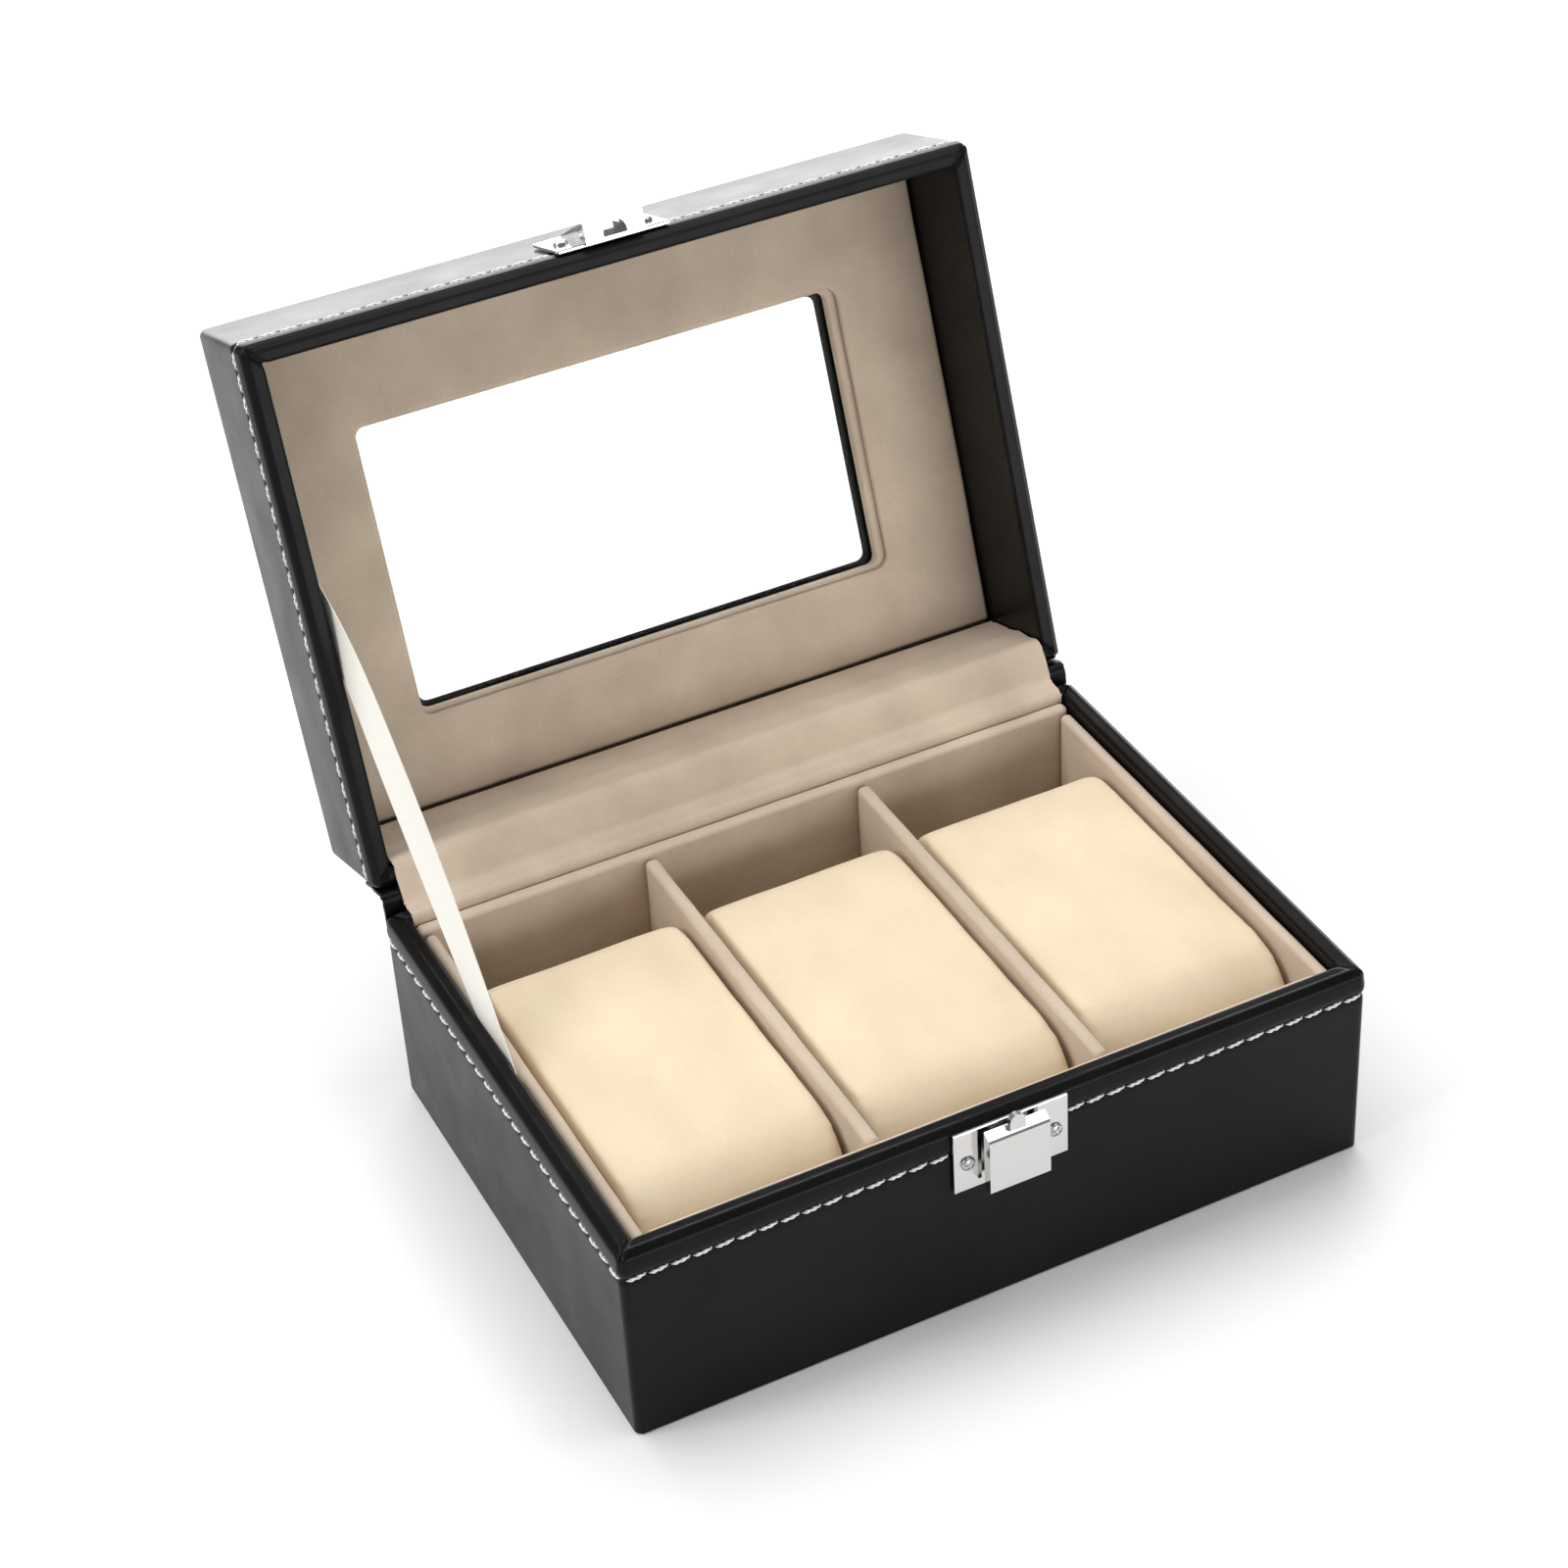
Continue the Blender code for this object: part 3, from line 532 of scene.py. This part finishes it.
def add_ply(mesh_data, centre, along, outward, length, turn):
    """One ply of a stitch: a slim tube winding round the stitch's middle, with its ends in the leather."""
    side = along.cross(outward).normalized()
    sections = 12
    sides = 6
    angles = [2 * math.pi * step / sides for step in range(sides)]
    rings = []
    for section in range(sections + 1):
        share = 2 * section / sections - 1
        swell = max(0.2, math.sqrt(max(0.0, 1 - abs(share) ** 3)))
        wind = turn + share * math.radians(250)
        middle = centre + along * (share * length / 2) - outward * THREAD_RADIUS * 0.8 * share ** 4
        middle += (outward * math.cos(wind) + side * math.sin(wind)) * THREAD_RADIUS * 0.42 * swell
        radius = THREAD_RADIUS * 0.62 * swell
        rings.append([middle + (outward * math.cos(a) + side * math.sin(a)) * radius for a in angles])
    skin_rings(rings, False, mesh_data)


def stitch_row(mesh_data, outward, along, distance, start, stop, height, lean):
    """Stitches in a straight row on one wall, from start to stop."""
    count = round((stop - start) / STITCH_PITCH)
    pitch = (stop - start) / count
    for index in range(count):
        offset = start + pitch * (index + 0.5)
        wander = noise.noise(Vector((offset * 900, height * 1000, outward.x * 7))) * 0.00016
        centre = outward * distance + along * offset + Vector((0, 0, height + wander))
        direction = (along + Vector((0, 0, lean + wander * 300))).normalized()
        add_ply(mesh_data, centre, direction, outward, STITCH_LENGTH, 0.0)
        add_ply(mesh_data, centre, direction, outward, STITCH_LENGTH, math.pi)


def stitch_walls(mesh_data, height, lean, gap_half):
    """Stitches along the left, front and right walls, apart from a gap in the middle of the front."""
    reach_x = WIDTH / 2 - CORNER * 0.6
    reach_y = DEPTH / 2 - CORNER * 0.6
    sink = GROOVE - THREAD_RADIUS * 0.8
    side_distance = WIDTH / 2 - sink
    front_distance = DEPTH / 2 - sink
    left = Vector((-1, 0, 0))
    front = Vector((0, -1, 0))
    right = Vector((1, 0, 0))
    back = Vector((0, 1, 0))
    stitch_row(mesh_data, left, front, side_distance, -reach_y, reach_y, height, lean)
    stitch_row(mesh_data, front, right, front_distance, -reach_x, -gap_half, height, lean)
    stitch_row(mesh_data, front, right, front_distance, gap_half, reach_x, height, lean)
    stitch_row(mesh_data, right, back, side_distance, -reach_y, reach_y, height, lean)


def stitching():
    gap_half = CLASP_HALF + 0.0001
    lean = 0.10
    base_row = bmesh.new()
    stitch_walls(base_row, BASE_TOP - BASE_SEAM, lean, gap_half)
    base_thread = to_object("base_stitching", base_row, THREAD_LOOK)
    lid_row = bmesh.new()
    stitch_walls(lid_row, LID_RIM + LID_SEAM, -lean, gap_half)
    lid_thread = to_object("lid_stitching", lid_row, THREAD_LOOK)
    lid_thread.data.transform(OPENING)
    for thread, body in ((base_thread, "base"), (lid_thread, "lid")):
        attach(thread, body)


# Velvet


def block_marks(low, high, radius):
    """Places along one side of a soft block: (core place, how far round the edge, from -1 to 1)."""
    steps = 4
    marks = [(low + radius, -math.tan(math.radians(45 * (steps - step) / steps))) for step in range(steps)]
    inner_low = low + radius
    inner_high = high - radius
    count = max(1, round((inner_high - inner_low) / BOARD_GRID))
    marks += [(inner_low + (inner_high - inner_low) * step / count, 0.0) for step in range(count + 1)]
    marks += [(high - radius, math.tan(math.radians(45 * step / steps))) for step in range(1, steps + 1)]
    return marks


def soft_block(low, high, radius):
    """A box whose edges and corners are rounded, with a grid fine enough to be made uneven."""
    axes = [block_marks(low[i], high[i], radius) for i in range(3)]
    made = bmesh.new()
    known = {}

    def vertex(indices):
        if indices not in known:
            marks = [axes[i][indices[i]] for i in range(3)]
            core = Vector([mark[0] for mark in marks])
            known[indices] = made.verts.new(core + Vector([mark[1] for mark in marks]).normalized() * radius)
        return known[indices]

    for axis in range(3):
        first, second = [i for i in range(3) if i != axis]
        for end in (0, len(axes[axis]) - 1):
            for u in range(len(axes[first]) - 1):
                for v in range(len(axes[second]) - 1):
                    corners = []
                    for du, dv in ((0, 0), (1, 0), (1, 1), (0, 1)):
                        place = [0, 0, 0]
                        place[axis], place[first], place[second] = end, u + du, v + dv
                        corners.append(vertex(tuple(place)))
                    made.faces.new(corners)
    bmesh.ops.recalc_face_normals(made, faces=made.faces)
    return made


def unsettle(mesh_data, amount, scale):
    """Slightly uneven fabric over its board."""
    mesh_data.normal_update()
    for vertex in mesh_data.verts:
        vertex.co += vertex.normal * noise.noise(vertex.co * scale) * amount


def velvet_walls():
    for name in VELVET_BOARDS:
        low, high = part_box(name)
        block = soft_block(low, high, BOARD_EDGE)
        unsettle(block, 0.00012, 90.0)
        made = to_object(f"{name}_velvet", block, VELVET_LOOK)
        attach(made, "base")
        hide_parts(name)


def lid_lining():
    """The padded frame inside the lid, with a soft fold round the window."""
    back = LID_TOP - 0.0034
    half_x = INSIDE_X - 0.0003
    front = -INSIDE_Y + 0.0003
    rear = INSIDE_Y - 0.0014
    centre = (0.0, (front + rear) / 2)
    half_y = (rear - front) / 2
    soft = 0.0010
    corner = 0.0006
    rings = [[(x, y, back) for x, y in corner_outline(half_x, half_y, corner, centre)]]
    for c, s in quarter(0, 90, 5):
        inset = soft * (1 - c)
        ring = corner_outline(half_x - inset, half_y - inset, corner, centre)
        rings.append([(x, y, LINING_Z + soft * (1 - s)) for x, y in ring])
    outer_edge = corner_outline(half_x - soft, half_y - soft, corner, centre)
    fold = 0.0006
    rebate = window_outline(BEAD_OUTER + 0.0003)
    inner_edge = window_outline(fold)
    for share in (0.12, 0.3, 0.5, 0.7, 0.88):
        rings.append([(x, y, LINING_Z) for x, y in between(outer_edge, inner_edge, share)])
    for c, s in quarter(90, 0, 5):
        ring = window_outline(fold * (1 - c))
        rings.append([(x, y, LINING_Z + fold * (1 - s)) for x, y in ring])
    step_z = LINING_Z + 0.0011
    rings.append([(x, y, step_z) for x, y in window_outline(0.0)])
    rings.append([(x, y, step_z) for x, y in rebate])
    rings.append([(x, y, back) for x, y in rebate])
    panel = skin_rings(rings, True)
    bmesh.ops.recalc_face_normals(panel, faces=panel.faces)
    unsettle(panel, 0.00016, 60.0)
    made = to_object("lid_lining_velvet", panel, VELVET_LOOK, 60)
    made.data.transform(OPENING)
    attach(made, "lid")
    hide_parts("lid_lining")


def window_bead():
    """Velvet round the inside of the window, behind the lining."""
    face = LINING_Z + 0.0016
    back = LID_TOP - 0.0028
    soft = 0.0006
    corner = WINDOW_RADIUS - BEAD_INNER
    rings = [[(x, y, back) for x, y in window_outline(BEAD_OUTER)]]
    rings.append([(x, y, face) for x, y in window_outline(BEAD_OUTER)])
    half_x = WINDOW_SIZE[0] / 2 - BEAD_INNER - BEAD_EXTRA / 2
    half_y = WINDOW_SIZE[1] / 2 - BEAD_INNER
    centre = (WINDOW_CENTRE[0] - BEAD_EXTRA / 2, WINDOW_CENTRE[1])
    for c, s in quarter(90, 0, 5):
        out = soft * (1 - c)
        ring = corner_outline(half_x + out, half_y + out, corner + out, centre)
        rings.append([(x, y, face + soft * (1 - s)) for x, y in ring])
    rings.append([(x, y, back) for x, y in corner_outline(half_x, half_y, corner, centre)])
    bead = skin_rings(rings, True)
    made = to_object("window_bead_velvet", bead, VELVET_LOOK, 60)
    made.data.transform(OPENING)
    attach(made, "lid")
    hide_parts("window_bead")


# Webs along the hinge


def opened(y, z):
    """Where a point of the closed lid stands, as (y, z)."""
    place = OPENING @ Vector((0, y, z))
    return Vector((place.y, place.z))


def smooth_path(points, per_span):
    """A Catmull-Rom curve through points."""
    padded = [points[0] * 2 - points[1], *points, points[-1] * 2 - points[-2]]
    curve = []
    for a, b, c, d in zip(padded, padded[1:], padded[2:], padded[3:]):
        for step in range(per_span):
            t = step / per_span
            bend = (2 * a - 5 * b + 4 * c - d) * t ** 2 + (3 * b - a - 3 * c + d) * t ** 3
            curve.append(b + ((c - a) * t + bend) / 2)
    return [*curve, points[-1]]


def web_sheet(name, path, thickness, half, material, ripple):
    """A sheet across the box that follows a (y, z) path, with small waves along its length."""
    spots = len(path)
    columns = 61
    upper = []
    lower = []
    for column in range(columns):
        x = half * (2 * column / (columns - 1) - 1)
        top = []
        bottom = []
        for index, point in enumerate(path):
            before = path[max(index - 1, 0)]
            after = path[min(index + 1, spots - 1)]
            along = (after - before).normalized()
            across = Vector((-along.y, along.x))
            fade = math.sin(math.pi * index / (spots - 1))
            wave = noise.noise(Vector((x * 26, index * 0.22, 3.0))) * ripple * fade
            fray = noise.noise(Vector((index * 0.9, math.copysign(5.0, x), 0.0))) * 0.0004
            edge = fray * abs(x / half) ** 12
            middle = point + across * wave
            top.append((x + edge, *(middle + across * thickness / 2)))
            bottom.append((x + edge, *(middle - across * thickness / 2)))
        upper.append(top)
        lower.append(bottom)
    rings = [top + bottom[::-1] for top, bottom in zip(upper, lower)]
    return to_object(name, skin_rings(rings, False), material, 60)


def velvet_web():
    """Velvet from behind the back liner, over the rim and up the back wall inside the lid."""
    foot = Vector((INSIDE_Y - 0.00005, BASE_TOP - 0.0022))
    rim_mouth = opened(INSIDE_Y, LID_RIM)
    lid_end = opened(INSIDE_Y - 0.0004, LINING_Z - 0.0004)
    ramp = lid_end - rim_mouth
    lift = Vector((-ramp.y, ramp.x)).normalized()
    stops = [
        foot,
        foot + Vector((-0.00005, 0.0015)),
        Vector((INSIDE_Y + 0.0008, BASE_TOP + 0.00045)),
        Vector((INSIDE_Y + 0.0028, BASE_TOP + 0.00050)),
        Vector((INSIDE_Y + 0.0044, BASE_TOP + 0.00130)),
        Vector((INSIDE_Y + 0.0060, BASE_TOP + 0.00400)),
        rim_mouth + lift * 0.0008 + ramp * 0.02,
        rim_mouth + lift * 0.0007 + ramp * 0.22,
        rim_mouth + lift * 0.0011 + ramp * 0.40,
        rim_mouth + lift * 0.0006 + ramp * 0.55,
        rim_mouth + lift * 0.0006 + ramp * 0.80,
        lid_end + lift * 0.0004,
    ]
    path = smooth_path(stops, 4)
    half = INSIDE_X - 0.0004
    made = web_sheet("hinge_velvet_sheet", path, 0.00055, half, VELVET_LOOK, 0.00035)
    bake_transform(made)
    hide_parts("hinge_velvet", "lid_back_velvet")


def leather_web():
    """Leather along the outside of the back, from the base's wall to the lid's."""
    corner = opened(DEPTH / 2, LID_RIM)
    along = (opened(DEPTH / 2, LID_TOP) - corner).normalized()
    away = Vector((along.y, -along.x))
    stops = [
        Vector((DEPTH / 2 + 0.0004, BASE_TOP - 0.0070)),
        Vector((DEPTH / 2 + 0.0006, BASE_TOP - 0.0030)),
        Vector((DEPTH / 2 + 0.0007, BASE_TOP - 0.0004)),
        corner + away * 0.0012 - along * 0.0006,
        corner + away * 0.0008 + along * 0.0030,
        corner + away * 0.0004 + along * 0.0085,
    ]
    path = smooth_path(stops, 5)
    half = WIDTH / 2 - 0.0006
    made = web_sheet("hinge_leather_sheet", path, 0.0007, half, LEATHER_LOOK, 0.00015)
    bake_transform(made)
    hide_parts("hinge_leather")


def stay_ribbon():
    """Satin ribbon from behind the left liner to the left wall of the lid, turned a little on its way."""
    stops = [
        Vector((-0.0753, 0.0022, 0.0392)),
        Vector((-0.0753, 0.0092, 0.0448)),
        Vector((-0.0751, 0.0200, 0.0536)),
        Vector((-0.0748, 0.0355, 0.0660)),
        Vector((-0.0746, 0.0538, 0.0805)),
        Vector((-0.0746, 0.0728, 0.0955)),
        Vector((-0.0752, 0.0900, 0.1060)),
    ]
    path = smooth_path(stops, 8)
    width = 0.010
    thickness = 0.00022
    spans = 8
    rings = []
    for index, point in enumerate(path):
        share = index / (len(path) - 1)
        before = path[max(index - 1, 0)]
        after = path[min(index + 1, len(path) - 1)]
        along = (after - before).normalized()
        level = along.cross(Vector((1, 0, 0))).normalized()
        turn = math.radians(14) * math.sin(math.pi * share ** 1.5)
        across = Matrix.Rotation(turn, 3, along) @ level
        normal = along.cross(across)
        top = []
        bottom = []
        for step in range(spans + 1):
            spot = 2 * step / spans - 1
            cup = normal * (0.00030 * (1 - spot * spot) * math.sin(math.pi * share))
            place = point + across * (spot * width / 2) + cup
            top.append(place + normal * thickness / 2)
            bottom.append(place - normal * thickness / 2)
        rings.append(top + bottom[::-1])
    made = to_object("stay_ribbon_satin", skin_rings(rings, False), SATIN_LOOK, 60)
    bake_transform(made)
    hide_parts("stay_ribbon")


# Pillows


def pillow_profile(low, high, inset):
    """(y, z) outline of a pillow seen from its end, evenly enough spaced to puff."""
    front, back = low.y + inset, high.y - inset
    foot, top = low.z + inset, high.z - inset
    corners = (
        (front, foot, 1, 1, 0.0050, 270, 180),
        (front, top, 1, -1, 0.0140, 180, 90),
        (back, top, -1, -1, 0.0080, 90, 0),
        (back, foot, -1, 1, 0.0050, 0, -90),
    )
    points = []
    for y, z, side_y, side_z, full, start, stop in corners:
        radius = full - inset
        centre_y, centre_z = y + side_y * radius, z + side_z * radius
        steps = 12 if full > 0.006 else 6
        for c, s in quarter(start, stop, steps):
            points.append((centre_y + radius * c, centre_z + radius * s))
    return points


def pillow_form(low, high, shrink):
    """The foam block under the cover."""
    half = (high.x - low.x) / 2 - shrink
    middle = (high.x + low.x) / 2
    edge = 0.0014
    slices = [(-half + edge * (1 - c), shrink + edge * (1 - s)) for c, s in quarter(0, 90, 4)]
    slices += [(-x, inset) for x, inset in reversed(slices)]
    rings = [[(middle + x, y, z) for y, z in pillow_profile(low, high, inset)] for x, inset in slices]
    return skin_rings(rings, False)


def evaluated_mesh(obj):
    bpy.context.view_layer.update()
    return bpy.data.meshes.new_from_object(obj.evaluated_get(bpy.context.evaluated_depsgraph_get()))


def take_modifiers(obj):
    """Put the result of an object's modifiers into its mesh."""
    result = evaluated_mesh(obj)
    obj.modifiers.clear()
    obj.data = result


def puff(obj, seam_x, cap):
    """Blow the cover out with cloth pressure, held along its side seams, no further than cap."""
    group = obj.vertex_groups.new(name="seams")
    held = [v.index for v in obj.data.vertices if abs(abs(v.co.x - seam_x[0]) - seam_x[1]) < 0.0022]
    group.add(held, 1.0, "REPLACE")
    start = np.array([v.co for v in obj.data.vertices])
    cloth = obj.modifiers.new("cover", "CLOTH")
    cloth.settings.quality = 6
    cloth.settings.mass = 0.15
    cloth.settings.tension_stiffness = 12
    cloth.settings.compression_stiffness = 12
    cloth.settings.shear_stiffness = 6
    cloth.settings.bending_stiffness = 0.4
    cloth.settings.use_pressure = True
    cloth.settings.uniform_pressure_force = 4.0
    cloth.settings.vertex_group_mass = group.name
    cloth.settings.effector_weights.gravity = 0.0
    for step in range(1, CLOTH_FRAMES + 1):
        bpy.context.scene.frame_set(step)
    result = evaluated_mesh(obj)
    moved = np.array([v.co for v in result.vertices]) - start
    lengths = np.linalg.norm(moved, axis=1, keepdims=True)
    moved *= np.minimum(1.0, cap / np.maximum(lengths, 1e-9))
    obj.modifiers.clear()
    obj.vertex_groups.clear()
    for vertex, place in zip(obj.data.vertices, start + moved):
        vertex.co = place
    bpy.data.meshes.remove(result)
    bpy.context.scene.frame_set(1)


def sew_seams(obj, middle, half):
    """Draw the cover in along the seam round each end, and ruffle the nap a little."""
    mesh_data = bmesh.new()
    mesh_data.from_mesh(obj.data)
    mesh_data.normal_update()
    for vertex in mesh_data.verts:
        from_seam = abs(abs(vertex.co.x - middle) - (half - 0.0012))
        pull = 0.00018 * math.exp(-((from_seam / 0.0005) ** 2))
        pucker = 1 + 0.5 * noise.noise(vertex.co * 420.0)
        ruffle = noise.noise(vertex.co * 75.0) * 0.00022
        vertex.co += vertex.normal * (ruffle - pull * pucker)
    mesh_data.to_mesh(obj.data)
    mesh_data.free()


def pillows():
    shrink = 0.0006
    shift = 0.0003
    for name in PILLOW_NAMES:
        low, high = (Vector(corner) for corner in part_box(name))
        low.x += shift
        high.x += shift
        middle = (low.x + high.x) / 2
        half = (high.x - low.x) / 2
        made = to_object(f"{name}_cover", pillow_form(low, high, shrink), PILLOW_LOOK)
        remesh = made.modifiers.new("even", "REMESH")
        remesh.mode = "VOXEL"
        remesh.voxel_size = PILLOW_VOXEL
        take_modifiers(made)
        puff(made, (middle, half - shrink), 0.0010)
        smooth = made.modifiers.new("smooth", "SUBSURF")
        smooth.levels = 1
        smooth.render_levels = 1
        take_modifiers(made)
        sew_seams(made, middle, half)
        made.data.shade_smooth()
        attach(made, name)
        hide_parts(name)


# Clasp


def soften(node, width):
    """Round the edges of a metal piece that keeps its CAD shape."""
    bevel = node.modifiers.new("edges", "BEVEL")
    bevel.width = width
    bevel.segments = 3
    bevel.limit_method = "ANGLE"
    bevel.angle_limit = math.radians(40)
    bevel.harden_normals = True


def screw_head(name, centre, body, lid):
    """A domed head with a cross slot."""
    radius = 0.0015
    height = 0.0007
    sides = 32
    profile = [(0.45, -0.5), (0.96, -0.5), (1.0, -0.42), (1.0, 0.0)]
    profile += quarter(12, 84, 6)
    angles = [2 * math.pi * side / sides for side in range(sides)]
    rings = []
    for share, up in profile:
        y = centre.y - up * height
        reach = radius * share
        rings.append([(centre.x + reach * math.cos(a), y, centre.z + reach * math.sin(a)) for a in angles])
    made = to_object(name, skin_rings(rings, False), STEEL_LOOK, 35)
    for turn in (20, 110):
        slot_mesh = bmesh.new()
        bmesh.ops.create_cube(slot_mesh, size=1.0)
        bmesh.ops.scale(slot_mesh, vec=(0.0021, 0.0007, 0.00036), verts=slot_mesh.verts)
        spin = Matrix.Rotation(math.radians(turn), 3, "Y")
        bmesh.ops.rotate(slot_mesh, cent=(0, 0, 0), matrix=spin, verts=slot_mesh.verts)
        bmesh.ops.translate(slot_mesh, vec=(centre.x, centre.y - height, centre.z), verts=slot_mesh.verts)
        slot = to_object("slot_cutter", slot_mesh, STEEL_LOOK)
        cut = made.modifiers.new("slot", "BOOLEAN")
        cut.object = slot
        cut.operation = "DIFFERENCE"
        take_modifiers(made)
        bpy.data.objects.remove(slot, do_unlink=True)
    if lid:
        made.data.transform(OPENING)
    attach(made, body)
    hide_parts(name.replace("_head", ""))


def clasp():
    for name in ("clasp_base_plate", "clasp_button", "clasp_lid_plate"):
        soften(frame["nodes"][name], 0.00016)
    for side, word in ((-1, "left"), (1, "right")):
        low = Vector((side * SCREW_OFFSET, HEAD_FACE, BASE_SCREW_HEIGHT))
        high = Vector((side * SCREW_OFFSET, HEAD_FACE, LID_SCREW_HEIGHT))
        screw_head(f"clasp_base_screw_{word}_head", low, "base", False)
        screw_head(f"clasp_lid_screw_{word}_head", high, "lid", True)


def spring():
    """The coil between the plate and the button."""
    turns = 2
    coil = 0.0026
    wire = 0.0003
    start = HEAD_FACE - wire
    stop = BUTTON_FRONT + SHEET + CLEAR + wire
    steps = 60
    sides = 8
    rings = []
    for step in range(steps + 1):
        share = step / steps
        angle = 2 * math.pi * turns * share
        outward = Vector((math.cos(angle), 0, math.sin(angle)))
        middle = outward * coil + Vector((0, start + (stop - start) * share, SPRING_HEIGHT))
        ring = []
        for side in range(sides):
            turn = 2 * math.pi * side / sides
            ring.append(middle + outward * wire * math.cos(turn) + Vector((0, wire * math.sin(turn), 0)))
        rings.append(ring)
    coil_piece = to_object("clasp_spring_coil", skin_rings(rings, False), STEEL_LOOK, 60)
    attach(coil_piece, "base")
    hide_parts("clasp_spring")
    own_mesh(coil_piece)


def dress_nodes():
    """Better materials for the pieces whose CAD shape is right."""
    looks = {
        "board": BOARD_LOOK,
        "underside": FELT_LOOK,
        "chrome": CHROME_LOOK,
        "screw_steel": STEEL_LOOK,
        "glass": GLASS_LOOK,
        "velvet": VELVET_LOOK,
    }
    for part in frame["record"]["subparts"]:
        node = frame["nodes"][part["node"]]
        if part["material_slot"] in looks:
            for slot in node.material_slots:
                slot.link = "OBJECT"
                slot.material = looks[part["material_slot"]]


# Studio


def floor():
    mesh_data = bmesh.new()
    bmesh.ops.create_grid(mesh_data, x_segments=8, y_segments=8, size=3.0)
    bmesh.ops.translate(mesh_data, vec=(0, 0, -0.00005), verts=mesh_data.verts)
    made = to_object("studio_floor", mesh_data, floor_material())


def area_light(name, place, target, size, power):
    data = bpy.data.lights.new(name, "AREA")
    data.shape = "RECTANGLE"
    data.size, data.size_y = size
    data.energy = power
    made = bpy.data.objects.new(name, data)
    bpy.context.scene.collection.objects.link(made)
    made.location = place
    made.rotation_euler = (Vector(target) - Vector(place)).to_track_quat("-Z", "Y").to_euler()


def lights():
    world = bpy.data.worlds.new("studio")
    world.use_nodes = True
    background = world.node_tree.nodes["Background"]
    background.inputs["Color"].default_value = (1.0, 1.0, 1.0, 1.0)
    background.inputs["Strength"].default_value = 0.30
    bpy.context.scene.world = world
    area_light("back_panel", (0.62, 1.30, 0.32), (0.62, 0, 0.32), (1.9, 0.62), 21)
    area_light("top_panel", (0.0, 0.38, 1.10), (0, 0.02, 0), (1.4, 0.7), 8.8)
    area_light("small_top_panel", (0.36, -0.17, 1.05), (0, -0.05, 0), (0.36, 0.40), 1.6)
    area_light("left_panel", (-1.05, 0.05, 0.72), (0, 0, 0.04), (0.6, 0.8), 7)
    area_light("front_panel", (0.42, -1.30, 0.27), (0, 0.0, 0.10), (1.2, 0.5), 7)


def camera():
    back = Vector(
        (
            math.sin(CAMERA_AZIMUTH) * math.cos(CAMERA_ELEVATION),
            -math.cos(CAMERA_AZIMUTH) * math.cos(CAMERA_ELEVATION),
            math.sin(CAMERA_ELEVATION),
        )
    )
    right = (-back).cross(Vector((0, 0, 1))).normalized()
    up = back.cross(right)
    side = right * math.cos(CAMERA_ROLL) + up * math.sin(CAMERA_ROLL)
    over = up * math.cos(CAMERA_ROLL) - right * math.sin(CAMERA_ROLL)
    data = bpy.data.cameras.new("camera")
    data.lens = CAMERA_LENS
    data.sensor_width = 36.0
    data.clip_start = 0.01
    made = bpy.data.objects.new("camera", data)
    bpy.context.scene.collection.objects.link(made)
    turn = Matrix((side, over, back)).transposed().to_4x4()
    made.matrix_world = Matrix.Translation(CAMERA_TARGET + back * CAMERA_DISTANCE) @ turn
    bpy.context.scene.camera = made


camera()
dress_nodes()
base_leather()
lid_leather()
stitching()
velvet_walls()
lid_lining()
window_bead()
velvet_web()
leather_web()
stay_ribbon()
pillows()
clasp()
spring()
floor()
lights()
bpy.context.scene.view_settings.view_transform = "Standard"
